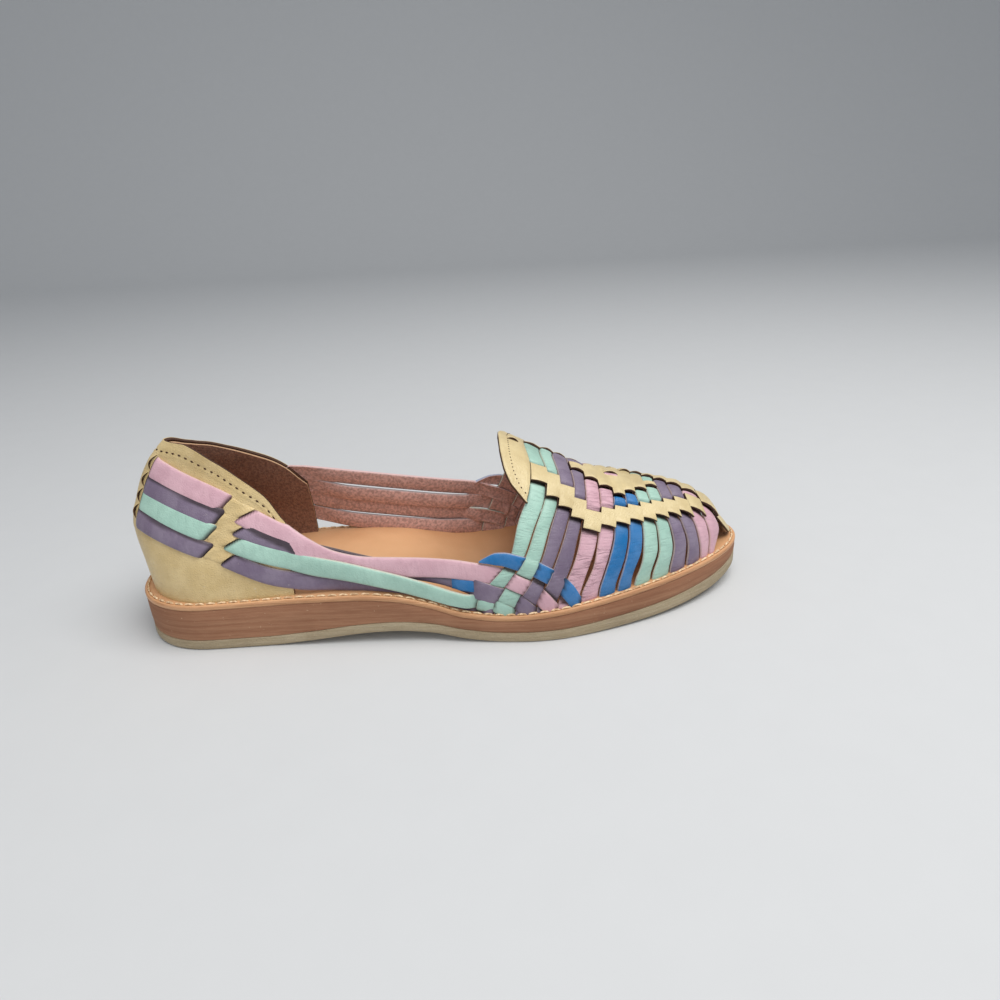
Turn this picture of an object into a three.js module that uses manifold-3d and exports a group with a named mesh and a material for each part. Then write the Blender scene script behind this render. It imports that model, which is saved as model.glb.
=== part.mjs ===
// Huarache sandal, right foot: a flat wedge sole in three layers, a woven upper of leather
// strips whose four long straps run round the heel, a heel counter inside those straps, and a
// centre piece with a tongue over the instep.
//
// Millimetres. +X runs from heel to toe, +Y to the inner (medial) side, +Z up. Every table is
// read along s, the distance from the back edge of the sole.

import * as THREE from 'three';
import Module from 'manifold-3d';

const wasm = await Module();
wasm.setup();

// ---- driving dimensions -------------------------------------------------------------------

const LENGTH = 252; // sole, heel to toe
const BALL_WIDTH = 88.8; // sole, across the ball
const INSTEP_RISE = 59.5; // crest of the upper over the footbed at the tongue
const HEEL_RISE = 58; // collar over the footbed at the back
const OUTSOLE = 4.2; // thickness of the tread layer
const FOOTBED = 2; // thickness of the footbed
const GAP = 0.3; // between neighbouring pieces

const FOOT_INSET = 3; // from the sole's edge in to the foot of the upper
const TOE_INSET = 3.5; // the same at the toe tip
const HEEL_CAP = 32; // length of the rounded heel end of the sole
const HEEL_SQUARE = 2.2; // how square that end is, 2 being an ellipse
const TOE_CAP = 122; // length of the tapering toe end of the sole
const TOE_SQUARE = 2;
const HEEL_SEAT = 20; // s of the middle of the heel seat, where heights at the heel start

const WEAVE_OUT = 0.6; // outer face of the woven wall, from the form
const WEAVE_IN = -1.6; // inner face of it
const COUNTER_OUT = 1;
const COUNTER_IN = -1;
const STRAP_WIDTH = 7.6;
const STRAP_THICKNESS = 1.4;
const STRAP_SEAT = COUNTER_OUT + 1.7 * GAP; // inner face of the straps round the counter
const CENTRE_THICKNESS = 1.3;

const COUNTER_FRONT = 66; // s where the counter ends
const CUP_FRONT = 50; // s where the side wall starts to turn from the heel cup to the weave's form
const WEAVE_REAR = 140; // s where the side straps reach the weave
const WEAVE_FRONT = 242.5; // s of the front edge of the weave, over the open toe

// ---- tables -------------------------------------------------------------------------------

// Sole: centre line, half width as a share of the ball width before the two ends are rounded,
// top of the midsole, underside.
const SOLE = [
  { s: 0, centre: 0, half: 0.347, top: 18.1, under: 0.6 },
  { s: 20, centre: 0.5, half: 0.347, top: 18.1, under: 0 },
  { s: 50, centre: 0.4, half: 0.35, top: 18.4, under: 0 },
  { s: 70, centre: -0.6, half: 0.353, top: 19.1, under: 1.6 },
  { s: 90, centre: -1.7, half: 0.355, top: 19.3, under: 3.9 },
  { s: 104, centre: -2, half: 0.364, top: 18.2, under: 4.6 },
  { s: 118, centre: -2, half: 0.379, top: 14.9, under: 3.6 },
  { s: 132, centre: -1.7, half: 0.412, top: 10.9, under: 1.2 },
  { s: 148, centre: -1.2, half: 0.449, top: 9.5, under: 0 },
  { s: 160, centre: -0.4, half: 0.48, top: 10.2, under: 0 },
  { s: 172, centre: 0.4, half: 0.496, top: 11.2, under: 0 },
  { s: 192, centre: 1.6, half: 0.5, top: 12.9, under: 0.5 },
  { s: 212, centre: 2.8, half: 0.5, top: 14.6, under: 1.3 },
  { s: 232, centre: 4.4, half: 0.496, top: 15.8, under: 2.9 },
  { s: 252, centre: 5.6, half: 0.484, top: 16.4, under: 6.6 },
];

// Woven front: crest height as a share of the instep rise, crest off the centre line, and how
// square the section is on its outer and inner side.
const CREST = [
  { s: 130, rise: 0.875, shift: 1, outer: 2.25, inner: 2 },
  { s: 148, rise: 1, shift: 1, outer: 2.28, inner: 2 },
  { s: 165, rise: 0.86, shift: -0.7, outer: 2.32, inner: 1.98 },
  { s: 185, rise: 0.678, shift: -2.7, outer: 2.38, inner: 1.96 },
  { s: 205, rise: 0.553, shift: -3.2, outer: 2.42, inner: 1.94 },
  { s: 222, rise: 0.455, shift: -3.2, outer: 2.46, inner: 1.92 },
  { s: 235, rise: 0.328, shift: -3.2, outer: 2.5, inner: 1.9 },
  { s: 244, rise: 0.151, shift: -3.2, outer: 2.5, inner: 1.9 },
];

// Heel cup: level over the footbed as a share of the heel rise, back of the contour, its half
// width at the front, the length of its round part and how square that is.
const CUP = [
  { level: -0.1, back: 5, half: 27.4, round: 30, square: 2.1 },
  { level: 0, back: 4.7, half: 27.4, round: 30, square: 2.1 },
  { level: 0.2, back: 3.2, half: 26.2, round: 31, square: 2 },
  { level: 0.43, back: 1.2, half: 22.5, round: 36, square: 1.85 },
  { level: 0.65, back: 5.3, half: 18, round: 45, square: 1.6 },
  { level: 0.86, back: 11.7, half: 15, round: 54, square: 1.5 },
  { level: 1, back: 17.8, half: 14.5, round: 50, square: 1.5 },
];

// Collar: top edge of the counter, read round the heel from its back (0) to its front (1).
const COLLAR = [
  { round: 0, rise: 1 },
  { round: 0.45, rise: 0.985 },
  { round: 0.62, rise: 0.92 },
  { round: 0.77, rise: 0.82 },
  { round: 0.88, rise: 0.7 },
  { round: 0.96, rise: 0.54 },
  { round: 1, rise: 0.4 },
];

// Straps, top to bottom, by the height of their middle. Places go round the heel: -2 is the
// weave on the outer side, -1 the counter's front there, 0 the back, 1 and 2 the inner side.
const STRAPS = [
  { place: -2.1, pink: 29, upper_purple: 23, mint: 17.5, lower_purple: 14 },
  { place: -1.6, pink: 33, upper_purple: 29, mint: 23.5, lower_purple: 20 },
  { place: -1.3, pink: 35.5, upper_purple: 33.5, mint: 29.3, lower_purple: 25 },
  { place: -1.1, pink: 40.5, upper_purple: 38, mint: 33.5, lower_purple: 27.5 },
  { place: -0.9, pink: 50, upper_purple: 46, mint: 40.3, lower_purple: 32.5 },
  { place: -0.5, pink: 65, upper_purple: 57, mint: 48.8, lower_purple: 40.5 },
  { place: 0, pink: 69.5, upper_purple: 61, mint: 52.8, lower_purple: 44.5 },
  { place: 0.5, pink: 65.5, upper_purple: 57.5, mint: 49.5, lower_purple: 41.5 },
  { place: 0.9, pink: 55, upper_purple: 47.5, mint: 40.5, lower_purple: 33.5 },
  { place: 1.3, pink: 48, upper_purple: 39.5, mint: 31, lower_purple: 23.5 },
  { place: 2.1, pink: 33, upper_purple: 26, mint: 20, lower_purple: 14.5 },
];

// Throat: rear edge of the weave, by the share of the girth from the footbed to the crest.
const THROAT = [
  { share: 0, s: 136 },
  { share: 0.2, s: 138.5 },
  { share: 0.32, s: 147 },
  { share: 0.5, s: 154 },
  { share: 0.7, s: 158.5 },
  { share: 1, s: 161 },
];

// Centre piece: outer and inner edge, off the centre line of the sole.
const CENTRE_PIECE = [
  { s: 148.5, outer: -3, inner: 3 },
  { s: 150, outer: -15, inner: 9 },
  { s: 153, outer: -23, inner: 16 },
  { s: 157, outer: -26.5, inner: 20.5 },
  { s: 160, outer: -22, inner: 15.5 },
  { s: 170, outer: -26.5, inner: 18 },
  { s: 181, outer: -32, inner: 23.5 },
  { s: 190, outer: -30, inner: 22 },
  { s: 205, outer: -26.5, inner: 19 },
  { s: 220, outer: -21.5, inner: 12.5 },
  { s: 232, outer: -16.5, inner: 7.5 },
  { s: 239, outer: -12, inner: 4 },
];

const TEETH = 13; // steps along each edge of the centre piece, one for each strip
const TOOTH = 3.2; // depth of a step
const TEETH_FROM = 163;
const TEETH_TO = 238;

// ---- reading a table ----------------------------------------------------------------------

// A smooth curve through one column of a table, without overshoot between its rows.
function curve(rows, at, column) {
  const x = rows.map((row) => row[at]);
  const y = rows.map((row) => row[column]);
  const slope = x.slice(1).map((next, i) => (y[i + 1] - y[i]) / (next - x[i]));
  const tangent = x.map((_, i) => {
    if (i === 0) return slope[0];
    if (i === x.length - 1) return slope[i - 1];
    if (slope[i - 1] * slope[i] <= 0) return 0;
    return (2 * slope[i - 1] * slope[i]) / (slope[i - 1] + slope[i]);
  });
  return (value) => {
    const v = THREE.MathUtils.clamp(value, x[0], x[x.length - 1]);
    let i = 0;
    while (i < x.length - 2 && v > x[i + 1]) i += 1;
    const h = x[i + 1] - x[i];
    const t = (v - x[i]) / h;
    const u = 1 - t;
    const rise = y[i] * (1 + 2 * t) * u * u + y[i + 1] * (3 - 2 * t) * t * t;
    return rise + h * t * u * (u * tangent[i] - t * tangent[i + 1]);
  };
}

const centre = curve(SOLE, 's', 'centre');
const halfShare = curve(SOLE, 's', 'half');
const midsoleTop = curve(SOLE, 's', 'top');
const underside = curve(SOLE, 's', 'under');
const crestRise = curve(CREST, 's', 'rise');
const crestShift = curve(CREST, 's', 'shift');
const outerSquare = curve(CREST, 's', 'outer');
const innerSquare = curve(CREST, 's', 'inner');
const cupBack = curve(CUP, 'level', 'back');
const cupHalf = curve(CUP, 'level', 'half');
const cupRound = curve(CUP, 'level', 'round');
const cupSquare = curve(CUP, 'level', 'square');
const collar = curve(COLLAR, 'round', 'rise');
const throat = curve(THROAT, 'share', 's');
const centreOuter = curve(CENTRE_PIECE, 's', 'outer');
const centreInner = curve(CENTRE_PIECE, 's', 'inner');

// ---- the form of the shoe -----------------------------------------------------------------

// How far a rounded end has grown: 0 at its tip, 1 where it meets the straight part.
function roundEnd(along, length, square) {
  const left = THREE.MathUtils.clamp(1 - along / length, 0, 1);
  return (1 - left ** square) ** (1 / square);
}

const soleHalf = (s) =>
  halfShare(s) *
  BALL_WIDTH *
  roundEnd(s, HEEL_CAP, HEEL_SQUARE) *
  roundEnd(LENGTH - s, TOE_CAP, TOE_SQUARE);

const footHalf = (s) =>
  (halfShare(s) * BALL_WIDTH - FOOT_INSET) * roundEnd(LENGTH - TOE_INSET - s, TOE_CAP, TOE_SQUARE);

const footbedTop = (s) => midsoleTop(s) + GAP + FOOTBED;

// A point of the woven front. turn runs from 0 at the outer foot line over the crest to 1.
function front(s, turn) {
  const middle = centre(s) + crestShift(s);
  const angle = Math.PI * turn;
  const outside = turn < 0.5;
  const square = 2 / (outside ? outerSquare(s) : innerSquare(s));
  const reach = footHalf(s) + (outside ? crestShift(s) : -crestShift(s));
  const y = middle - Math.sign(Math.cos(angle)) * reach * Math.abs(Math.cos(angle)) ** square;
  const z = footbedTop(s) + crestRise(s) * INSTEP_RISE * Math.sin(angle) ** square;
  return new THREE.Vector3(s, y, z);
}

// The same surface read by its distance y from the centre line of the sole.
function frontAt(s, y) {
  const offset = y - crestShift(s);
  const outside = offset < 0;
  const square = outside ? outerSquare(s) : innerSquare(s);
  const reach = footHalf(s) + (outside ? crestShift(s) : -crestShift(s));
  const share = Math.min(1, Math.abs(offset) / reach);
  const z = footbedTop(s) + crestRise(s) * INSTEP_RISE * (1 - share ** square) ** (1 / square);
  return new THREE.Vector3(s, centre(s) + y, z);
}

// Half width of the woven front at a height, on the side given by sign.
function frontHalf(s, z, sign) {
  const square = sign < 0 ? outerSquare(s) : innerSquare(s);
  const share = THREE.MathUtils.clamp((z - footbedTop(s)) / (crestRise(s) * INSTEP_RISE), 0, 1);
  return (footHalf(s) - sign * crestShift(s)) * (1 - share ** square) ** (1 / square);
}

// A point of the side wall, which goes round the heel from the weave to the weave. z is the
// height from the floor, place that of the strap table.
function side(z, place) {
  const sign = place < 0 ? -1 : 1;
  const level = (z - footbedTop(HEEL_SEAT)) / HEEL_RISE;
  const back = cupBack(level);
  const behind = Math.abs(place) < 1;
  const s = behind
    ? back + (COUNTER_FRONT - back) * place * place
    : COUNTER_FRONT + (Math.abs(place) - 1) * (WEAVE_REAR - COUNTER_FRONT);
  const cup = cupHalf(level) * roundEnd(s - back, cupRound(level), cupSquare(level));
  const weave = frontHalf(s, z, sign) + sign * crestShift(s);
  const blend = THREE.MathUtils.smoothstep(s, CUP_FRONT, WEAVE_REAR);
  const half = THREE.MathUtils.lerp(cup, weave, blend);
  return new THREE.Vector3(s, centre(s) * blend + sign * half, z);
}

// Small steps, for slopes: along or across a surface in millimetres, over it in turns, and round
// the heel in places.
const SMALL = 0.25;
const SMALL_TURN = 0.004;
const SMALL_PLACE = 0.01;

// Outward unit normal of a surface given as a function of two numbers.
function normal(surface, u, v, du, dv) {
  const alongU = surface(u + du, v).sub(surface(u - du, v));
  const alongV = surface(u, v + dv).sub(surface(u, v - dv));
  return alongU.cross(alongV).normalize();
}

// ---- solids -------------------------------------------------------------------------------

const steps = (count) => Array.from({ length: count + 1 }, (_, i) => i / count);
const dense = (count) => steps(count).map((t) => 0.5 - 0.5 * Math.cos(Math.PI * t));

// A closed geometry between two sheets of points that have the same rows and columns.
function between(top, bottom) {
  const rows = top.length;
  const columns = top[0].length;
  const points = [...top.flat(), ...bottom.flat()];
  const index = [];
  const at = (i, j) => i * columns + j;
  const under = rows * columns;
  const quad = (a, b, c, d) => index.push(a, b, c, a, c, d);
  for (let i = 0; i < rows - 1; i += 1) {
    for (let j = 0; j < columns - 1; j += 1) {
      quad(at(i, j), at(i + 1, j), at(i + 1, j + 1), at(i, j + 1));
      quad(under + at(i, j), under + at(i, j + 1), under + at(i + 1, j + 1), under + at(i + 1, j));
    }
  }
  const rim = [];
  for (let i = 0; i < rows - 1; i += 1) rim.push(at(i, 0));
  for (let j = 0; j < columns - 1; j += 1) rim.push(at(rows - 1, j));
  for (let i = rows - 1; i > 0; i -= 1) rim.push(at(i, columns - 1));
  for (let j = columns - 1; j > 0; j -= 1) rim.push(at(0, j));
  rim.forEach((p, k) => {
    const q = rim[(k + 1) % rim.length];
    quad(q, p, under + p, under + q);
  });
  const geometry = new THREE.BufferGeometry().setFromPoints(points);
  geometry.setIndex(index);
  return geometry;
}

// The volume of a closed geometry, positive where its faces point out.
function volume(geometry) {
  const position = geometry.attributes.position;
  const index = geometry.index.array;
  const corner = (k) => new THREE.Vector3().fromBufferAttribute(position, index[k]);
  let sum = 0;
  for (let k = 0; k < index.length; k += 3) {
    sum += corner(k).dot(corner(k + 1).cross(corner(k + 2)));
  }
  return sum / 6;
}

// A manifold solid from a closed geometry, turned so that its faces point out.
function solid(geometry) {
  const triVerts = new Uint32Array(geometry.index.array);
  if (volume(geometry) < 0) triVerts.reverse();
  const vertProperties = new Float32Array(geometry.attributes.position.array);
  const mesh = new wasm.Mesh({ numProp: 3, vertProperties, triVerts });
  mesh.merge();
  return new wasm.Manifold(mesh);
}

function fromSolid(body) {
  const mesh = body.getMesh();
  const geometry = new THREE.BufferGeometry();
  geometry.setAttribute('position', new THREE.BufferAttribute(mesh.vertProperties, 3));
  geometry.setIndex(new THREE.BufferAttribute(mesh.triVerts, 1));
  return geometry;
}

// A wall that follows a surface, from one offset along its normal to another.
function wall(rows, surface, inner, outer, du, dv) {
  const sheet = (offset) =>
    rows.map((row) =>
      row.map(([u, v]) => surface(u, v).addScaledVector(normal(surface, u, v, du, dv), offset)),
    );
  return solid(between(sheet(outer), sheet(inner)));
}

// ---- sole layers --------------------------------------------------------------------------

const SOLE_STEPS = 38;
const SOLE_COLUMNS = 4;
const TIP = 0.08; // first and last station, off the very tips
const TIP_HALF = 0.5; // least half width, at the tips

// A layer of the sole's outline, between two heights that depend on s.
function layer(lower, upper, outset = 0) {
  const sheet = (height) =>
    dense(SOLE_STEPS).map((t) => {
      const s = TIP + t * (LENGTH - 2 * TIP);
      return steps(SOLE_COLUMNS).map((w) => {
        const across = (2 * w - 1) * Math.max(soleHalf(s) + outset, TIP_HALF);
        return new THREE.Vector3(s, centre(s) + across, height(s));
      });
    });
  return solid(between(sheet(upper), sheet(lower)));
}

const outsole = layer(underside, (s) => underside(s) + OUTSOLE);
const midsole = layer((s) => underside(s) + OUTSOLE + GAP, midsoleTop);
const insole = layer((s) => midsoleTop(s) + GAP, footbedTop);

// A block wider than the sole, from under the footbed to a gap over it. It trims what stands there.
const TRIM_DEPTH = 30;
const TRIM_OUTSET = 10;
const trim = layer((s) => footbedTop(s) - TRIM_DEPTH, (s) => footbedTop(s) + GAP, TRIM_OUTSET);

// ---- upper --------------------------------------------------------------------------------

const TUCK_TURN = 0.02; // turn over which the foot of the weave is drawn down, to be trimmed
const TUCK_DEPTH = 3;
const BEYOND = 100; // fall for each turn past the foot line, where a slope is read across it
const WEAVE_ROWS = 15;
const WEAVE_COLUMNS = 22;
const TONGUE_ROWS = 4; // rows that go on behind the throat, under the tongue
const STRAP_STEPS = 8; // sections from the counter's front to the strap's end
const COUNTER_STEPS = 24; // sections round the counter
const STRAP_LEAVES = 1.5; // place where a strap starts to turn from its seat into the weave
const STRAP_JOINS = 1.95; // place where it has joined

// A wall on the form of the woven front. behind is the number of rows behind the throat.
function weave(inner, outer, behind) {
  const rows = [];
  for (let i = -behind; i <= WEAVE_ROWS; i += 1) {
    const row = steps(WEAVE_COLUMNS).map((turn) => {
      const rear = throat(1 - Math.abs(2 * turn - 1));
      return [rear + (i / WEAVE_ROWS) * (WEAVE_FRONT - rear), turn];
    });
    rows.push(row);
  }
  const form = (s, turn) => {
    const t = THREE.MathUtils.clamp(turn, 0, 1);
    const tuck = TUCK_DEPTH * (1 - Math.min(1, Math.min(t, 1 - t) / TUCK_TURN));
    const point = front(s, t);
    point.z -= BEYOND * Math.abs(turn - t) + tuck;
    return point;
  };
  return wall(rows, form, inner, outer, SMALL, SMALL_TURN);
}

// Places where a strap has a section: those of the counter round the heel, then on to the weave.
function strapPlaces() {
  const forward = steps(STRAP_STEPS).map((t) => 1 + t * (STRAPS[STRAPS.length - 1].place - 1));
  const round = steps(COUNTER_STEPS).map((t) => 2 * t - 1).slice(1, -1);
  return [...forward.map((place) => -place).reverse(), ...round, ...forward];
}

// A strap: a band of constant width that lies on the side wall along a path. It is widened
// upright where the path slopes.
function strap(column) {
  const height = curve(STRAPS, 'place', column);
  const sheet = (thickness) =>
    strapPlaces().map((place) => {
      const next = place + SMALL_PLACE;
      const last = place - SMALL_PLACE;
      const along = side(height(next), next).sub(side(height(last), last));
      const upright = along.length() / Math.hypot(along.x, along.y);
      const joined = THREE.MathUtils.smoothstep(Math.abs(place), STRAP_LEAVES, STRAP_JOINS);
      const inner = THREE.MathUtils.lerp(STRAP_SEAT, WEAVE_OUT - STRAP_THICKNESS, joined);
      return [-0.5, 0, 0.5].map((w) => {
        const z = height(place) + w * STRAP_WIDTH * upright;
        const out = normal(side, z, place, SMALL, SMALL_PLACE);
        return side(z, place).addScaledVector(out, inner + thickness);
      });
    });
  return solid(between(sheet(STRAP_THICKNESS), sheet(0)));
}

const upper = ['pink', 'upper_purple', 'mint', 'lower_purple']
  .map(strap)
  .reduce((body, band) => body.add(band), weave(WEAVE_IN, WEAVE_OUT, 0))
  .subtract(trim);

// ---- heel counter -------------------------------------------------------------------------

const COUNTER_ROWS = 10;
const COUNTER_TUCK = 4; // depth under the footbed from which the counter rises, to be trimmed

function heelCounter() {
  const base = footbedTop(HEEL_SEAT);
  const rows = steps(COUNTER_STEPS).map((t) => {
    const place = 2 * t - 1;
    const top = base + HEEL_RISE * collar(Math.abs(place));
    return steps(COUNTER_ROWS).map((v) => [THREE.MathUtils.lerp(base - COUNTER_TUCK, top, v), place]);
  });
  return wall(rows, side, COUNTER_IN, COUNTER_OUT, SMALL, SMALL_PLACE).subtract(trim);
}

// ---- centre piece -------------------------------------------------------------------------

const CENTRE_COLUMNS = 8;
const TOOTH_EDGE = 0.3; // from a tooth's station to the line between two teeth
const CENTRE_DEPTH = 1; // how far the centre piece starts below its underside, to be cut away
const WEAVE_DEPTH = 5; // thickness of the form that cuts it

// Stations along the centre piece: its tongue, then two for each tooth.
function centreStations() {
  const tongue = CENTRE_PIECE.filter((row) => row.s < TEETH_FROM).map((row) => [row.s, 0]);
  const pitch = (TEETH_TO - TEETH_FROM) / TEETH;
  const teeth = steps(TEETH - 1).flatMap((t) => {
    const start = TEETH_FROM + t * (TEETH_TO - TEETH_FROM - pitch);
    return [
      [start + TOOTH_EDGE, -TOOTH / 2],
      [start + pitch - TOOTH_EDGE, TOOTH / 2],
    ];
  });
  return [...tongue, ...teeth];
}

function centrePiece() {
  const rows = centreStations().map(([s, step]) => {
    const outer = centreOuter(s) + step;
    const inner = centreInner(s) - step;
    return steps(CENTRE_COLUMNS).map((w) => [s, THREE.MathUtils.lerp(outer, inner, w)]);
  });
  const low = WEAVE_OUT + GAP;
  const over = wall(rows, frontAt, low - CENTRE_DEPTH, low + CENTRE_THICKNESS, SMALL, SMALL);
  return over.subtract(weave(low - WEAVE_DEPTH, low, TONGUE_ROWS));
}

// ---- the sandal ---------------------------------------------------------------------------

const PIECES = [
  ['outsole', outsole, 0xb9ab90, 0.9],
  ['midsole', midsole, 0xa97f5c, 0.85],
  ['insole', insole, 0xd9a878, 0.7],
  ['upper', upper, 0xa9d6c4, 0.55],
  ['heel_counter', heelCounter(), 0xd3c184, 0.5],
  ['centre_piece', centrePiece(), 0xdccb90, 0.5],
];

const sandal = new THREE.Group();
for (const [name, body, colour, roughness] of PIECES) {
  const material = new THREE.MeshStandardMaterial({ color: colour, roughness, metalness: 0 });
  const mesh = new THREE.Mesh(fromSolid(body), material);
  mesh.name = name;
  sandal.add(mesh);
}

// The origin is the middle of the underside of the whole sandal's box.
const box = new THREE.Box3().setFromObject(sandal);
const middle = box.getCenter(new THREE.Vector3());
sandal.position.set(-middle.x, -middle.y, -box.min.z);

export default sandal;
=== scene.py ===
"""Huarache sandal for the right foot, built round its packed frame.

Lengths inside the shoe are millimetres: s runs from the back edge of the sole to the toe, y is
positive on the inner side and z is the height over the floor. A turn runs over the woven front
from the outer foot line (0) over the crest to the inner one (1). A place runs round the heel:
0 is the back, -1 and 1 the counter's two front edges, beyond them the free side straps.
"""

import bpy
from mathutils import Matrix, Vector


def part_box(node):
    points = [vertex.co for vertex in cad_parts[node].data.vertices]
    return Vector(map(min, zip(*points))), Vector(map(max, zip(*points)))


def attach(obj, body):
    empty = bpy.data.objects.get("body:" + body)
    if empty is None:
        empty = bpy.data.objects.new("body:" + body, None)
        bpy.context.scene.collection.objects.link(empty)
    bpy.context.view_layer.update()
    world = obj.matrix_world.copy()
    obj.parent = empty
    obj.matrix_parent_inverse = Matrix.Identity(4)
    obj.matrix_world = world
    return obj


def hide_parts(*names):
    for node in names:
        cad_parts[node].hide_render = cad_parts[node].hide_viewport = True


bl_info = {
    "name": "Huarache Sandal",
    "version": (1, 0, 0),
    "blender": (4, 5, 0),
    "location": "View3D > Sidebar > Sandal",
    "description": "Builds a woven leather sandal round its packed frame",
    "category": "Add Mesh",
}

import bpy
import numpy as np
from mathutils import Matrix, Vector

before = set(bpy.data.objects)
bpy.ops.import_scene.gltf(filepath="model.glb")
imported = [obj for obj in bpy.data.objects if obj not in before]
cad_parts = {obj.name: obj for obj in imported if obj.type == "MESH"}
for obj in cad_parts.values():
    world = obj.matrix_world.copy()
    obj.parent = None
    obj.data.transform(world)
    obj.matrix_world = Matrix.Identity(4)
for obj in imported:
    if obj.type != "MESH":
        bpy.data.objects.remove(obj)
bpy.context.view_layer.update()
MM = 0.001


# ---- the form of the shoe -------------------------------------------------------------------

LENGTH = 252.0
BALL_WIDTH = 88.8
INSTEP_RISE = 59.5
HEEL_RISE = 58.0
OUTSOLE = 4.2
FOOTBED = 2.0
LAYER_GAP = 0.3
FOOT_INSET = 3.0
TOE_INSET = 3.5
HEEL_CAP = 32.0
HEEL_SQUARE = 2.2
TOE_CAP = 122.0
HEEL_SEAT = 20.0
CUP_FRONT = 50.0
COUNTER_FRONT = 66.0
WEAVE_REAR = 140.0


def rows(names, *values):
    """A table as one array for each named column."""
    return dict(zip(names.split(), np.array(values, float).T))


SOLE = rows(
    "s centre half top under",
    (0, 0, 0.347, 18.1, 0.6), (20, 0.5, 0.347, 18.1, 0), (50, 0.4, 0.35, 18.4, 0),
    (70, -0.6, 0.353, 19.1, 1.6), (90, -1.7, 0.355, 19.3, 3.9), (104, -2, 0.364, 18.2, 4.6),
    (118, -2, 0.379, 14.9, 3.6), (132, -1.7, 0.412, 10.9, 1.2), (148, -1.2, 0.449, 9.5, 0),
    (160, -0.4, 0.48, 10.2, 0), (172, 0.4, 0.496, 11.2, 0), (192, 1.6, 0.5, 12.9, 0.5),
    (212, 2.8, 0.5, 14.6, 1.3), (232, 4.4, 0.496, 15.8, 2.9), (252, 5.6, 0.484, 16.4, 6.6),
)
CREST = rows(
    "s rise shift outer inner",
    (130, 0.85, 1, 2.25, 2), (148, 0.973, 1, 2.28, 2), (165, 0.833, -0.7, 2.32, 1.98),
    (185, 0.65, -2.7, 2.38, 1.96), (205, 0.525, -3.2, 2.42, 1.94), (222, 0.427, -3.2, 2.46, 1.92),
    (235, 0.302, -3.2, 2.5, 1.9), (244, 0.135, -3.2, 2.5, 1.9), (248.5, 0.02, -3.2, 2.5, 1.9),
)
CUP = rows(
    "level back half round square",
    (-0.1, 5, 27.4, 30, 2.1), (0, 4.7, 27.4, 30, 2.1), (0.2, 3.2, 26.2, 31, 2),
    (0.43, 1.2, 22.5, 36, 1.85), (0.65, 5.3, 18, 45, 1.6), (0.86, 12.2, 15, 54, 1.5),
    (1, 20.4, 14.5, 48, 1.5),
)
COLLAR = rows(
    "round rise",
    (0, 1), (0.25, 1), (0.44, 0.996), (0.53, 0.977), (0.61, 0.95), (0.69, 0.91), (0.76, 0.868),
    (0.82, 0.815), (0.87, 0.765), (0.91, 0.72), (0.945, 0.665), (0.975, 0.59), (0.99, 0.52), (1, 0.45),
)
# Height of the middle of each side strap by place, from the outer weave round to the inner one.
PINK_PATH = rows(
    "place z",
    (-2.39, 8), (-2.351, 12.4), (-2.307, 16.7), (-2.246, 21.3), (-2.181, 24.4), (-2.082, 27.6),
    (-1.986, 29.3), (-1.8, 30.8), (-1.6, 31.2), (-1.4, 31.3), (-1.27, 32.8), (-1.18, 34.9),
    (-1.07, 40), (-1, 44.2), (-0.88, 52.4), (-0.8, 57.4), (-0.5, 65.3), (-0.35, 67.8), (0, 70.5),
    (0.35, 67.8), (0.5, 65.3), (0.8, 57.4), (0.88, 54.5), (1, 52.3), (1.18, 49.5), (1.49, 44.5),
    (1.8, 39.5), (2.04, 34.5), (2.12, 32), (2.2, 28), (2.28, 23), (2.35, 17.5), (2.4, 12.5),
    (2.43, 8),
)
UPPER_PURPLE_PATH = rows(
    "place z",
    (-2.29, 7), (-2.235, 12), (-2.191, 15.5), (-2.118, 19), (-2.016, 21), (-1.919, 24),
    (-1.703, 28), (-1.46, 31), (-1.27, 34.6), (-1.1, 38.5), (-0.95, 43.8), (-0.86, 48.4),
    (-0.785, 52.4), (-0.5, 59.2), (-0.35, 61.4), (0, 64), (0.35, 61.4), (0.5, 59.2),
    (0.785, 52.4), (0.86, 48.6), (1, 45.6), (1.18, 42), (1.49, 37), (1.8, 32), (2.04, 27.5),
    (2.12, 25), (2.18, 22), (2.25, 17), (2.3, 12.5), (2.34, 7.5),
)
MINT_PATH = rows(
    "place z",
    (-2.2, 6.5), (-2.135, 11.6), (-2.073, 14.8), (-1.95, 17.4), (-1.84, 18.9), (-1.73, 21.3),
    (-1.57, 25), (-1.4, 28.4), (-1.25, 31.2), (-1.1, 33.4), (-0.95, 37.6), (-0.88, 40.3),
    (-0.82, 43.6), (-0.75, 47.4), (-0.5, 53.2), (-0.35, 55.4), (0, 57.8), (0.35, 55.4),
    (0.5, 53.2), (0.75, 47.4), (0.82, 43.8), (1, 38.6), (1.18, 34.5), (1.49, 30), (1.8, 25),
    (2.04, 20.5), (2.1, 18.8), (2.17, 15.5), (2.22, 11.5), (2.27, 6.5),
)
LOWER_PURPLE_PATH = rows(
    "place z",
    (-2.12, 6.5), (-2.06, 10.2), (-2, 12.4), (-1.9, 14.6), (-1.75, 17.8), (-1.57, 21.8),
    (-1.4, 24.4), (-1.18, 26.1), (-1.01, 27.8), (-0.93, 30), (-0.87, 33.4), (-0.8, 37.6),
    (-0.73, 41), (-0.5, 47.4), (-0.36, 49.4), (0, 51.8), (0.36, 49.4), (0.5, 47.4), (0.73, 41),
    (0.8, 37.6), (1, 30.6), (1.18, 27), (1.49, 22.5), (1.8, 18), (2.0, 15.2), (2.1, 12.5),
    (2.16, 7),
)
PATH_EASE = 0.07  # reach, in places, over which a path is smoothed
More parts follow.
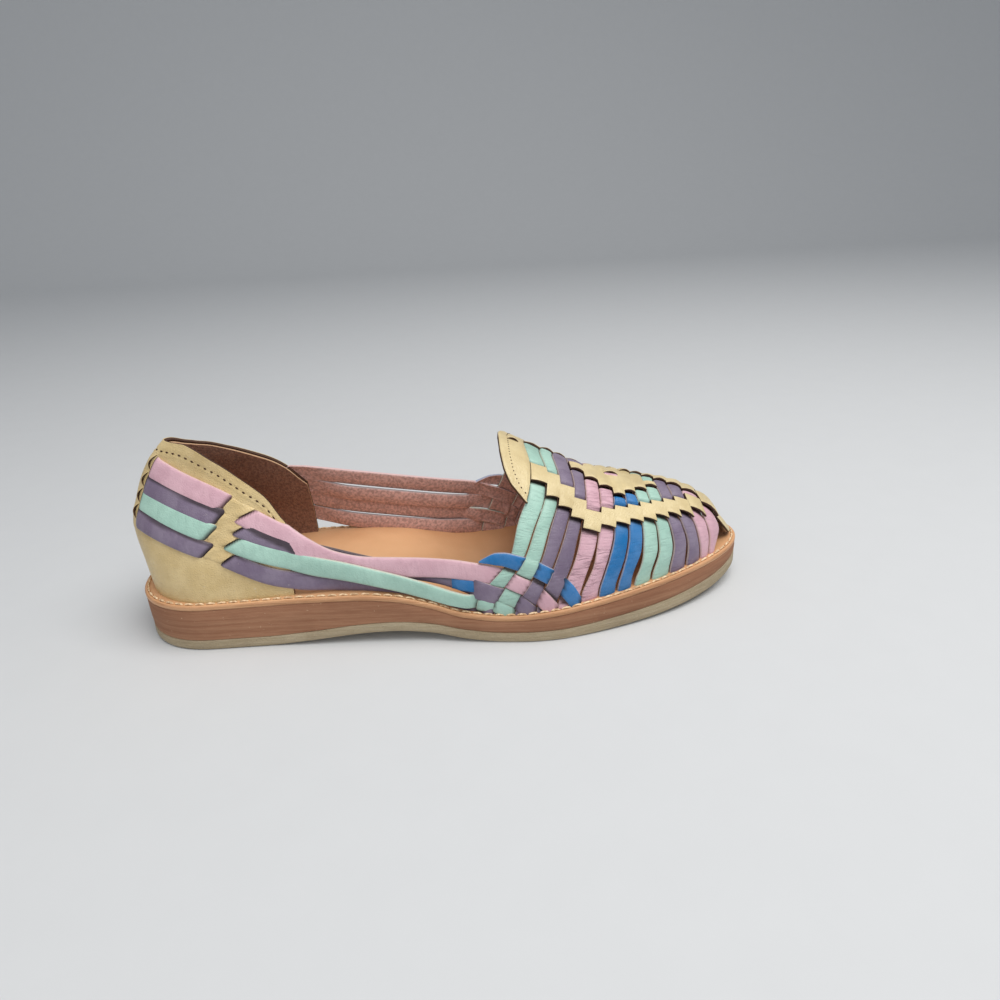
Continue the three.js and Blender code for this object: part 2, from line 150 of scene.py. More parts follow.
STRAP_PATHS = (PINK_PATH, UPPER_PURPLE_PATH, MINT_PATH, LOWER_PURPLE_PATH)
BLUE_OUTER_PATH = rows(
    "place z",
    (-2.52, 7), (-2.475, 14), (-2.43, 19.9), (-2.365, 25), (-2.29, 29.3), (-2.19, 32.6),
    (-2.09, 34.9), (-2.03, 34.7), (-1.98, 33.4),
)
BLUE_INNER_PATH = rows(
    "place z",
    (1.99, 38.5), (2.07, 39), (2.15, 38.2), (2.24, 35), (2.32, 30), (2.4, 25), (2.47, 19),
    (2.52, 13), (2.55, 7),
)
BLUE_TAIL_PATH = rows("place z", (-2.0, 23.6), (-1.96, 23.9), (-1.9, 24.2), (-1.83, 24.6))

# Line between two neighbouring strips of the front, by turn. Row 0 is the rear edge of strip 1.
STRIP_TURNS = (0, 0.05, 0.1, 0.2, 0.3, 0.4, 0.5, 0.62, 0.75, 1)
STRIP_LINES = (
    (135, 139.3, 149.2, 153.8, 159, 160.2, 159, 160.5, 156.4, 140),
    (141.5, 147.6, 154.6, 160.5, 165.3, 166.8, 165.6, 167.5, 166.5, 151),
    (149.5, 156.3, 161.2, 166, 170.3, 171.5, 170.8, 172.6, 171.2, 156.5),
    (158, 163.2, 166.8, 172, 175.6, 177.3, 177.2, 178, 176.2, 162),
    (166.5, 170.6, 174.1, 177.7, 180.7, 182, 183, 185.5, 183.3, 168),
    (175.8, 179.2, 182, 185, 186.7, 187.6, 188, 190.6, 189, 176),
    (183.5, 186, 188.3, 191.4, 192.2, 193.2, 193.4, 195.8, 194.7, 184),
    (191, 193.4, 195.5, 197.5, 197.8, 197.8, 198.2, 200.6, 200.9, 191.5),
    (198, 200.4, 202.5, 203.4, 203.4, 202.5, 202.8, 206, 207.2, 199.5),
    (206, 208, 209.8, 209.6, 208.4, 208, 207.8, 211.6, 213.4, 207.5),
    (214.3, 215.6, 216.5, 215.5, 213.9, 213.4, 213.2, 217.2, 219.4, 214.5),
    (222.3, 222.8, 223, 221.3, 219.4, 218.6, 218.6, 222.4, 225, 221.5),
    (229.7, 229.4, 228.8, 227.3, 225.2, 224.4, 224.6, 228.4, 230.8, 228),
    (234, 234.3, 234.4, 233.4, 231.8, 231.3, 231.3, 234.4, 236, 234.5),
    (237.5, 238.6, 239.5, 240.6, 239.6, 239, 239, 240.6, 241, 239.5),
)
STRIPS = len(STRIP_LINES) - 1
# Slits of the centre piece over each strip, from the centre line of the sole: outer rail from
# its outer to its inner edge, middle band, inner rail. A band without width has no slit there.
SLITS = rows(
    "outer_a outer_b band_a band_b inner_b inner_a",
    (-20.6, -12.9, -4.2, -4.2, 5, 15), (-24.7, -15.3, -4, -4, 8, 18.3),
    (-26.9, -19.2, -4, -4, 12, 20.8), (-28.9, -23, -6.8, -0.2, 15, 23),
    (-30.7, -25.7, -11, 4, 18, 24), (-28.8, -23.8, -14.5, 7, 16.5, 23.5),
    (-27.3, -22.3, -17.5, 8.5, 13, 21), (-25.6, -20.9, -14.9, 5, 10, 18.4),
    (-24.3, -19, -12.1, 0.5, 5.5, 15.6), (-22.4, -17.3, -8.8, -5.6, 1.6, 12.4),
    (-20.7, -15.5, -6, -6, -1, 9.5), (-18.7, -13.3, -7, -7, -3.2, 6.2),
    (-15.8, -9.4, -8, -8, -5.8, 2.6), (-10.5, -9, -8, -6, -4, -1),
)
# Places where two neighbouring strips part: line, turn, half opening, reach in turns.
PARTINGS = (
    (4, 0.16, 0.3, 0.07), (5, 0.08, 0.65, 0.05), (8, 0.05, 0.9, 0.05), (9, 0.05, 0.3, 0.05),
    (7, 0.03, 0.3, 0.04), (11, 0.05, 0.25, 0.05), (5, 0.93, 0.5, 0.05), (9, 0.95, 0.6, 0.04),
)
# Cuts across the crest: from s to s, distance from the centre line, strip colour that shows.
CREST_CUTS = (
    (191.3, 198, -3.5, "pink"), (199.2, 204.8, 2.6, ""), (151.8, 157.0, -1.7, ""),
)
TONGUE = rows(
    "turn s",
    (0.258, 157.4), (0.264, 156.6), (0.282, 154.3), (0.305, 151.9), (0.359, 149.9), (0.43, 149.2),
    (0.5, 149.2), (0.58, 151), (0.64, 153.6), (0.679, 156.8), (0.7, 158.4),
)
# Diagonal rail on the side of the counter: places and heights of its rear and front edge,
# listed down the rail. Bands enter between points 0-1, 2-3, 4-5 and 6-7.
RAIL = rows(
    "rear_place rear_z front_place front_z",
    (-0.83, 59.7, -0.912, 55.1), (-0.79, 55.8, -0.848, 52.2), (-0.8, 54.2, -0.885, 49.8),
    (-0.768, 50.6, -0.825, 47.0), (-0.77, 48.9, -0.85, 45.1), (-0.73, 45.4, -0.79, 42.2),
    (-0.755, 42.7, -0.83, 39.5), (-0.7, 38.6, -0.765, 36.0),
)


def curve(table, at, column):
    """A smooth curve through a column: a cubic piece between rows whose end slopes are the
    harmonic mean of the neighbouring slopes, or level where they change sign."""
    x, y = table[at], table[column]
    slope = np.diff(y) / np.diff(x)
    before, after = slope[:-1], slope[1:]
    same = before * after > 0
    mean = 2 * before * after / np.where(same, before + after, 1)
    tangent = np.concatenate([slope[:1], np.where(same, mean, 0), slope[-1:]])

    def read(value):
        v = np.clip(value, x[0], x[-1])
        i = np.clip(np.searchsorted(x, v, side="right") - 1, 0, len(x) - 2)
        h = x[i + 1] - x[i]
        t = (v - x[i]) / h
        u = 1 - t
        rise = y[i] * (1 + 2 * t) * u * u + y[i + 1] * (3 - 2 * t) * t * t
        return rise + h * t * u * (u * tangent[i] - t * tangent[i + 1])

    return read


def eased(read, reach):
    """The same curve, averaged at each value over its neighbourhood with the weights of a hill."""
    away = np.linspace(-1, 1, 9)
    weight = (1 - away**2) / np.sum(1 - away**2)

    def smooth(value):
        return sum(w * read(value + reach * a) for a, w in zip(away, weight))

    return smooth


centre, half_share, midsole_top, underside = (curve(SOLE, "s", c) for c in SOLE if c != "s")
crest_rise, crest_shift, outer_square, inner_square = (curve(CREST, "s", c) for c in CREST if c != "s")
cup_back, cup_half, cup_round, cup_square = (curve(CUP, "level", c) for c in CUP if c != "level")
collar = eased(curve(COLLAR, "round", "rise"), 0.05)
strip_lines = [
    eased(curve({"turn": np.array(STRIP_TURNS, float), "s": np.array(line, float)}, "turn", "s"), 0.04)
    for line in STRIP_LINES
]


def step(value, start, end):
    """0 before start, 1 after end, and a smooth S between them."""
    t = np.clip((value - start) / (end - start), 0, 1)
    return t * t * (3 - 2 * t)


def mix(a, b, t):
    return a + (b - a) * t


def round_end(along, length, square):
    """How far a rounded end has grown: the superellipse of that squareness."""
    left = np.clip(1 - along / length, 0, 1)
    return (1 - left**square) ** (1 / square)


def sole_half(s):
    ends = round_end(s, HEEL_CAP, HEEL_SQUARE) * round_end(LENGTH - s, TOE_CAP, 2)
    return half_share(s) * BALL_WIDTH * ends


def foot_half(s):
    return (half_share(s) * BALL_WIDTH - FOOT_INSET) * round_end(LENGTH - TOE_INSET - s, TOE_CAP, 2)


def footbed_top(s):
    return midsole_top(s) + LAYER_GAP + FOOTBED


def front(s, turn):
    """The woven front: in each section a half superellipse, reach times the cosine of half a
    turn across and the crest height times its sine up, both to the power 2 over squareness. It
    is drawn down a little beside both foot lines, so that the leather goes into the seam."""
    t = np.clip(turn, 0, 1)
    angle = np.pi * t
    outside = t < 0.5
    shift = crest_shift(s)
    power = 2 / np.where(outside, outer_square(s), inner_square(s))
    reach = foot_half(s) + np.where(outside, shift, -shift)
    cosine = np.cos(angle)
    y = centre(s) + shift - np.sign(cosine) * reach * np.abs(cosine) ** power
    z = footbed_top(s) + crest_rise(s) * INSTEP_RISE * np.clip(np.sin(angle), 0, 1) ** power
    z = z - 1.8 * (1 - np.clip(np.minimum(t, 1 - t) / 0.02, 0, 1)) - 100 * np.abs(turn - t)
    return np.stack(np.broadcast_arrays(s, y, z), -1)


def front_at(s, y):
    """The same surface read by its distance y from the centre line of the sole."""
    offset = y - crest_shift(s)
    outside = offset < 0
    power = np.where(outside, outer_square(s), inner_square(s))
    reach = foot_half(s) + np.where(outside, crest_shift(s), -crest_shift(s))
    share = np.minimum(1, np.abs(offset) / reach)
    z = footbed_top(s) + crest_rise(s) * INSTEP_RISE * (1 - share**power) ** (1 / power)
    return np.stack(np.broadcast_arrays(s, centre(s) + y, z), -1)


def turn_at(s, y):
    """Turn of a point of the front from its distance y from the centre line of the sole."""
    offset = y - crest_shift(s)
    outside = offset < 0
    power = 2 / np.where(outside, outer_square(s), inner_square(s))
    reach = foot_half(s) + np.where(outside, crest_shift(s), -crest_shift(s))
    cosine = np.clip(np.abs(offset) / reach, 0, 1) ** (1 / power)
    return np.arccos(np.where(outside, cosine, -cosine)) / np.pi


def front_half(s, z, sign):
    power = np.where(sign < 0, outer_square(s), inner_square(s))
    share = np.clip((z - footbed_top(s)) / (crest_rise(s) * INSTEP_RISE), 0, 1)
    return (foot_half(s) - sign * crest_shift(s)) * (1 - share**power) ** (1 / power)


def side(z, place):
    """The side wall: the rounded heel cup at the back, which turns into the woven front's own
    section along the side."""
    sign = np.where(place < 0, -1.0, 1.0)
    level = (z - footbed_top(HEEL_SEAT)) / HEEL_RISE
    back = cup_back(level)
    around = np.abs(place)
    behind = back + (COUNTER_FRONT - back) * place * place
    s = np.where(around < 1, behind, COUNTER_FRONT + (around - 1) * (WEAVE_REAR - COUNTER_FRONT))
    cup = cup_half(level) * round_end(s - back, cup_round(level), cup_square(level))
    weave = front_half(s, z, sign) + sign * crest_shift(s)
    blend = step(s, CUP_FRONT, WEAVE_REAR)
    return np.stack(np.broadcast_arrays(s, centre(s) * blend + sign * mix(cup, weave, blend), z), -1)


def outward(surface, u, v, du, dv):
    """Unit normals of a surface from its slopes along both of its numbers."""
    n = np.cross(
        surface(u + du, v) - surface(u - du, v), surface(u, v + dv) - surface(u, v - dv)
    )
    return n / np.maximum(np.linalg.norm(n, axis=-1, keepdims=True), 1e-9)


def strip_count(s, turn):
    """Number of the strip at a point of the front: k in the middle of strip k, and half a
    number more or less on its two edges."""
    total = np.zeros(np.broadcast(s, turn).shape)
    for line, following in zip(strip_lines[:-1], strip_lines[1:]):
        start = line(turn)
        total += np.clip((s - start) / (following(turn) - start), 0, 1)
    return total + 0.5


OUTER_STRANDS = (BLUE_OUTER_PATH, PINK_PATH, UPPER_PURPLE_PATH, MINT_PATH)
INNER_STRANDS = (BLUE_INNER_PATH, PINK_PATH, UPPER_PURPLE_PATH, MINT_PATH)


def strand_count(s, z, strands):
    """Number of the braid's strand at a point: j on the middle of strand j, counted from the
    top one (1) down, and growing by one from each strand to the next."""
    place = 1 + (s - COUNTER_FRONT) / (WEAVE_REAR - COUNTER_FRONT)
    place = place * (-1 if strands is OUTER_STRANDS else 1)
    heights = []
    for path in strands:
        heights.append(np.interp(place, path["place"], path["z"]))
    pitch = 6.5
    count = 1 + np.clip((heights[0] - z) / pitch, -2, 0)
    for upper, lower in zip(heights[:-1], heights[1:]):
        count = count + np.clip((upper - z) / np.maximum(upper - lower, 2.5), 0, 1)
    return count + np.clip((heights[-1] - z) / pitch, 0, 2)


def swing(angle):
    """A cosine with flattened tops: the way a strand goes over and under its neighbours."""
    c = np.cos(angle)
    return np.sign(c) * np.abs(c) ** 0.6


# ---- meshes ---------------------------------------------------------------------------------

SOLE_STATIONS = np.linspace(0, LENGTH, 2001)
OUTER_EDGE = np.min(centre(SOLE_STATIONS) - sole_half(SOLE_STATIONS))
BACK_EDGE = 0.08  # s at which the midsole's box begins
SHIFT = np.array([
    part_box("midsole")[0].x / MM - BACK_EDGE,
    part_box("midsole")[0].y / MM - OUTER_EDGE,
    0.0,
])


def hem(grid, width, axis):
    """Adds a line of points beside both ends of one axis of a grid, width in from them."""
    g = np.moveaxis(grid, axis, 0)

    def beside(edge, following):
        gap = np.linalg.norm(following[:, :3] - edge[:, :3], axis=-1, keepdims=True)
        return edge + (following - edge) * np.minimum(0.45, width / np.maximum(gap, 1e-6))

    g = np.concatenate([g[:1], beside(g[0], g[1])[None], g[1:-1], beside(g[-1], g[-2])[None], g[-1:]])
    return np.moveaxis(g, 0, axis)


def quads(count_u, count_v, closed=False):
    """Four corners for each cell of a grid."""
    at = np.arange(count_u * count_v).reshape(count_u, count_v)
    if closed:
        at = np.concatenate([at, at[:1]])
    return np.stack([at[:-1, :-1], at[1:, :-1], at[1:, 1:], at[:-1, 1:]], -1).reshape(-1, 4)


def facing_out(points, faces):
    """Turns all faces round if the volume they enclose is negative."""
    a, b, c, d = (points[faces[:, i]] for i in range(4))
    volume = np.sum(a * np.cross(b, c)) + np.sum(a * np.cross(c, d))
    return faces[:, ::-1] if volume < 0 else faces


def sheet(base, normals, low, high, round_off=0.35, recess=0.0):
    """A closed piece of leather: the points of a surface moved along its normals by high for
    its grain face and by low for its flesh face, with a rounded rim. Its UV map holds the
    distance along and across it in centimetres, its side value is 1 on the grain face, 0 on
    the cut rim and -1 on the flesh face, its recess is 1 where it dives under a neighbour."""
    count_u, count_v = base.shape[:2]
    low = np.broadcast_to(low, (count_u, count_v))
    high = np.broadcast_to(high, (count_u, count_v))
    middle = base[:, count_v // 2]
    along = np.concatenate([[0], np.cumsum(np.linalg.norm(np.diff(middle, axis=0), axis=1))])
    across = np.linalg.norm(np.diff(base, axis=1), axis=2)
    across = np.concatenate([np.zeros((count_u, 1)), np.cumsum(across, 1)], 1)
    across = across - across[:, -1:] / 2
    grid = np.concatenate(
        [
            base, normals, low[..., None], high[..., None],
            np.broadcast_to(along[:, None], across.shape)[..., None] / 10, across[..., None] / 10,
            np.broadcast_to(recess, across.shape)[..., None],
        ],
        -1,
    )
    grid = hem(hem(grid, round_off, 0), round_off, 1)
    rim = np.zeros(grid.shape[:2])
    rim[[0, -1]] = 1
    rim[:, [0, -1]] = 1
    base, normals, low, high, uv, recess = np.split(grid, (3, 6, 7, 8, 10), axis=-1)
    drop = np.minimum(round_off, 0.4 * (high - low)) * rim[..., None]
    top = (base + normals * (high - drop)).reshape(-1, 3)
    bottom = (base + normals * (low + drop)).reshape(-1, 3)
    row_count, columns = rim.shape
    faces = quads(row_count, columns)
    at = np.arange(row_count * columns).reshape(row_count, columns)
    loop = np.concatenate([at[:-1, 0], at[-1, :-1], at[:0:-1, -1], at[0, :0:-1]])
    following = np.roll(loop, -1)
    count = row_count * columns
    wall = np.stack([following, loop, loop + count, following + count], -1)
    points = np.concatenate([top, bottom])
    faces = np.concatenate([faces, faces[:, ::-1] + count, wall])
    side_value = np.concatenate([1 - rim.ravel(), rim.ravel() - 1])
    uv = np.tile(uv.reshape(-1, 2), (2, 1))
    recess = np.concatenate([recess.ravel(), 0 * recess.ravel()])
    return points, facing_out(points, faces), uv, side_value, recess


def rod(paths, radius, sides=6):
    """Closed tubes of a thread along many short paths at once: rings of points round each
    path point, in the plane across the path, the first and last ring drawn in to a tip."""
    count, steps = paths.shape[:2]
    tangent = np.gradient(paths, axis=1)
    tangent /= np.maximum(np.linalg.norm(tangent, axis=-1, keepdims=True), 1e-9)
    across = np.cross(tangent, np.array([0.13, 0.21, 0.97]))
    across /= np.maximum(np.linalg.norm(across, axis=-1, keepdims=True), 1e-9)
    up = np.cross(across, tangent)
    angle = np.linspace(0, 2 * np.pi, sides, endpoint=False)[:, None]
    size = np.full(steps, radius)
    size[[0, -1]] = radius * 0.35
    size = size[None, :, None, None]
    ring = across[:, :, None] * np.cos(angle) + up[:, :, None] * np.sin(angle)
    points = (paths[:, :, None] + ring * size).reshape(count, -1, 3)
    at = np.arange(steps * sides).reshape(steps, sides)
    at = np.concatenate([at, at[:, :1]], 1)
    faces = np.stack([at[:-1, :-1], at[:-1, 1:], at[1:, 1:], at[1:, :-1]], -1).reshape(-1, 4)
    ends = []
    for first in (0, (steps - 1) * sides):
        k = np.arange(sides // 2 - 1)
        ends.append(np.stack([first + k, first + k + 1, first + sides - 2 - k, first + sides - 1 - k], -1))
    ends[0] = ends[0][:, ::-1]
    faces = np.concatenate([faces, *ends])
    faces = facing_out(points[0], faces)
    faces = (faces[None] + np.arange(count)[:, None, None] * steps * sides).reshape(-1, 4)
    points = points.reshape(-1, 3)
    return points, faces, points[:, :2] / 10, np.ones(len(points)), np.zeros(len(points))


def joined(parts):
    """Several closed shapes as one."""
    faces, start = [], 0
    for part in parts:
        faces.append(part[1] + start)
        start += len(part[0])
    points, _, *values = (np.concatenate(column) for column in zip(*parts))
    return points, np.concatenate(faces), *values


def piece(name, shape, material, stands_for=(), crisp=0.9):
    """Makes the Blender object of a shape, rides it on the shoe and gives it its finish."""
    points, faces, uv, side_value, recess = shape
    mesh = bpy.data.meshes.new(name)
    mesh.from_pydata(((points + SHIFT) * MM).astype(float), [], faces)
    mesh.update()
    corner = np.empty(len(mesh.loops), np.int32)
    mesh.loops.foreach_get("vertex_index", corner)
    layer = mesh.uv_layers.new(name="Leather")
    layer.data.foreach_set("uv", uv[corner].astype(np.float32).ravel())
    # The recess attribute carries painted shade: the material darkens the colour where it is 1.
    for label, values in (("side", side_value), ("recess", recess)):
        attribute = mesh.attributes.new(label, "FLOAT", "POINT")
        attribute.data.foreach_set("value", values.astype(np.float32))
    mesh.polygons.foreach_set("use_smooth", np.ones(len(mesh.polygons), bool))
    mesh.set_sharp_from_angle(angle=crisp)
    mesh.materials.append(material)
    obj = bpy.data.objects.new(name, mesh)
    bpy.context.scene.collection.objects.link(obj)
    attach(obj, "root")
    if stands_for:
        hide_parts(*stands_for)
    return obj


# ---- sole -----------------------------------------------------------------------------------

OUTLINE_POINTS = 320


def outline(inset):
    """Points round the sole, inset from its edge: s goes there and back as half the length
    times one minus the cosine of an angle, y is the half width on either side, and the whole
    line is moved in along its own normals."""
    angle = np.linspace(0, 2 * np.pi, OUTLINE_POINTS, endpoint=False)
    s = LENGTH / 2 * (1 - np.cos(angle))
    half = np.where(np.abs(np.sin(angle)) < 1e-9, 0, sole_half(s))
    line = np.stack([s, centre(s) - np.sign(np.sin(angle)) * half], -1)
    tangent = np.roll(line, -1, 0) - np.roll(line, 1, 0)
    tangent /= np.linalg.norm(tangent, axis=1, keepdims=True)
    return line + inset * np.stack([-tangent[:, 1], tangent[:, 0]], -1)


def layer(profile, columns=10, dish=0.0):
    """A closed layer of the sole: the outline carried round a profile of insets and heights,
    from its under face to its upper one, with both faces bridged straight across."""
    half = OUTLINE_POINTS // 2
    rings, share = [], np.linspace(0, 1, columns + 1)[1:-1]
    for inset, height in profile:
        line = outline(inset)
        rings.append(np.column_stack([line, height(line[:, 0])]))
    points = np.concatenate(rings)
    count = len(rings)
    faces = [quads(OUTLINE_POINTS, count, closed=True)]
    index = (np.arange(count)[None] * OUTLINE_POINTS + np.arange(OUTLINE_POINTS)[:, None]).ravel()
    faces = [index[faces[0]]]
    added = [points]
    start = len(points)
    for ring, height, sign in ((0, profile[0][1], -1), (count - 1, profile[-1][1], 1)):
        first = ring * OUTLINE_POINTS
        i = np.arange(1, half)
        left, right = rings[ring][i], rings[ring][OUTLINE_POINTS - i]
        inner = mix(left[:, None], right[:, None], share[None, :, None])
        bowl = dish * (1 - (2 * share[None] - 1) ** 2) * (sign > 0)
        inner[..., 2] = height(inner[..., 0]) - bowl * np.minimum(1, i[:, None] / 12)
        added.append(inner.reshape(-1, 3))
        at = start + np.arange(inner.shape[0] * inner.shape[1]).reshape(inner.shape[:2])
        at = np.concatenate([first + i[:, None], at, first + OUTLINE_POINTS - i[:, None]], 1)
        start += inner.shape[0] * inner.shape[1]
        cap = np.stack([at[:-1, :-1], at[1:, :-1], at[1:, 1:], at[:-1, 1:]], -1).reshape(-1, 4)
        fans = []
        for row, tip in ((at[0], first), (at[-1], first + half)):
            pairs = np.stack([row[:-1:2], row[1::2], row[2::2]], -1)
            fans.append(np.column_stack([pairs, np.full(len(pairs), tip)]))
        fans[0] = fans[0][:, ::-1]
        cap = np.concatenate([cap, *fans])
        faces.append(cap if sign > 0 else cap[:, ::-1])
    points = np.concatenate(added)
    if np.sum(np.cross(points[faces[2][:, 1]] - points[faces[2][:, 0]],
                       points[faces[2][:, 2]] - points[faces[2][:, 0]])[:, 2]) < 0:
        faces[1:] = [cap[:, ::-1] for cap in faces[1:]]
    wall = faces[0]
    a, b, d = (points[wall[:, k]] for k in (0, 1, 3))
    away = (a - np.array([LENGTH / 2, 0, 10])) * [0.2, 1, 0]
    if np.sum(np.cross(b - a, d - a) * away) < 0:
        faces[0] = wall[:, ::-1]
    count = len(points)
    return points, np.concatenate(faces), points[:, :2] / 10, np.ones(count), np.zeros(count)


def raised(base, amount):
    return lambda s: base(s) + amount


def stitch_row(inset, pitch, length, seat, lift, lead=0.0):
    """Paths of a row of stitches on a line inset from the sole's edge: even steps along it,
    each path an arch of a sine over its length."""
    line = outline(inset)
    line = np.concatenate([line, line[:1]])
    along = np.concatenate([[0], np.cumsum(np.linalg.norm(np.diff(line, axis=0), axis=1))])
    count = int(along[-1] / pitch)
    start = (np.arange(count) + lead) * along[-1] / count
    share = np.linspace(0, 1, 7)
    at = start[:, None] + share[None] * length
    s, y = (np.interp(at % along[-1], along, line[:, k]) for k in (0, 1))
    return np.stack([s, y, seat(s) + lift * np.sin(np.pi * share)[None]], -1)


# ---- straps, strips and the gold leather ------------------------------------------------------

SKIN_STEP = 0.25
PLACE_STEP = 0.01
TURN_STEP = 0.004
COLLAR_HEM = 3.7


def mm(name):
    """A size from the panel, in millimetres."""
    return getattr(bpy.context.scene.sandal_sizes, name) / MM


def strap_places(first, last):
    """Places along a strap: even steps of about 1.6 mm on the free sides, finer round the heel."""
    forward = np.arange(1, 2.7, 0.018)
    fine = np.concatenate([np.arange(0.15, 0.36, 0.008), np.arange(0.6, 1, 0.005), forward])
    places = np.unique(np.concatenate([-fine, np.linspace(-0.6, 0.6, 73), fine]))
    places = places[(places > first) & (places < last)]
    return np.concatenate([[first], places, [last]])


def strap_level(place, z, s, turn, number, strand, float_out, joins):
    """Outer face of a side strap over the form: on the counter, under the back spine and the
    two diagonal rails, free along the sides, then over and under the strips of the front."""
    around = np.abs(place)
    on_counter = mm("counter_level") + mm("strap_thickness") + 0.1
    under = mm("counter_level") - 0.2
    points = slice(2 * number, 2 * number + 2)
    spread = []
    for edge in ("rear", "front"):
        heights = RAIL[edge + "_z"][points][::-1]
        places = -RAIL[edge + "_place"][points][::-1]
        slope = (places[1] - places[0]) / (heights[1] - heights[0])
        spread.append(places.mean() + (z - heights.mean()) * slope)
    rear, fore = spread
    dip = step(around, rear - 0.035, rear + 0.012) * (1 - step(around, fore - 0.008, fore + 0.04))
    spine = 1 - step(around, 0.2, 0.31)
    heel = mix(on_counter, under, np.maximum(dip, spine))
    free = mix(on_counter, float_out, step(around, 1.02, 1.25))
    level = np.where(around < 0.95, heel, free)
    if strand:
        count = np.maximum(strip_count(s, turn), 1)
        woven = mm("braid_level") + mm("braid_height") * swing(np.pi * (count + strand))
        level = mix(level, woven, step(around, *joins))
    return level


STEEPEST = 2.2  # most that a strap's upright width grows where its path runs steeply
STRAP_ROLL = 0.9  # how much thicker a strap's middle is along the free inner side
# A strap's painted shade comes from the rails and back spine before COUNTER_REACH, and from the weave past
# it.
COUNTER_REACH = 0.97  # place past which a strap darkens by the weave, not by the counter


def strap_shape(path, first, last, number, strand, floats, width, tuck=0.0, joins=(1.86, 1.97),
                above=None):
    """A strap as a ribbon on the side wall: places along it, heights across it, the width
    measured square to its path. It is darker just below the strap above it."""
    place = strap_places(first, last)
    height = eased(curve(path, "place", "z"), PATH_EASE)
    ahead = side(height(place + PLACE_STEP), place + PLACE_STEP)
    behind = side(height(place - PLACE_STEP), place - PLACE_STEP)
    run = ahead - behind
    upright = np.linalg.norm(run, axis=1) / np.maximum(np.hypot(run[:, 0], run[:, 1]), 1e-6)
    wide = np.interp(place, *width)
    w = np.linspace(-0.5, 0.5, 9)
    z = height(place)[:, None] + w * (wide * np.minimum(upright, STEEPEST))[:, None]
    places = np.broadcast_to(place[:, None], z.shape)
    base = side(z, places)
    turn = turn_at(base[..., 0], base[..., 1] - centre(base[..., 0]))
    normals = outward(side, z, places, SKIN_STEP, PLACE_STEP)
    float_out = np.where(place < 0, floats[0], floats[1])[:, None]
    level = strap_level(places, z, base[..., 0], turn, number, strand, float_out, joins)
    around = np.abs(places)
    # Painted shade: the strap darkens where it dives under the strips of the front, and on the heel where it
    # dives under the rails and the back spine.
    ahead = base[..., 0] - strip_lines[0](turn)
    woven = step(level, 1.5, 0.95) * step(ahead, -0.9, -0.1)
    shade_mask = np.where(around < COUNTER_REACH, step(level, 2.15, 1.25), woven)
    shade_mask = shade_mask * (strand > 0)
    # Painted shadow: the strap darkens along its top where the strap above it overlaps it or lies close.
    if above:
        lower_edge = eased(curve(above, "place", "z"), PATH_EASE)(place) - 0.5 * mm("strap_width") * upright
        gap = lower_edge[:, None] - z
        reach = mix(0.4, 1.3, step(around, 0.85, 0.92))
        shade_mask = np.maximum(shade_mask, 0.85 * (1 - step(gap / reach, 0, 1)) * step(around, 2.0, 1.9))
    level = level - 0.35 * (2 * w) ** 4
    near_end = np.minimum(place - first, last - place)[:, None]
    level = level - tuck * (1 - step(near_end, 0, 0.05))
    roll = STRAP_ROLL * (1 - (2 * w) ** 2) * (step(places, 1.0, 1.15) * (1 - step(places, 1.95, 2.05)))
    low = level - mm("strap_thickness") - roll
    return sheet(base, normals, low, level, recess=shade_mask)


def open_half(k, turn):
    """Half the opening between strips k and k + 1: the common gap, and a hill over the turn
    where two strips part."""
    extra = [rise * np.exp(-(((turn - at) / reach) ** 2)) for line, at, rise, reach in PARTINGS if line == k]
    narrow = mix(0.35, 1, step(np.abs(turn - 0.5), 0.22, 0.36))
    return narrow * mm("strip_gap") / 2 + sum(extra)


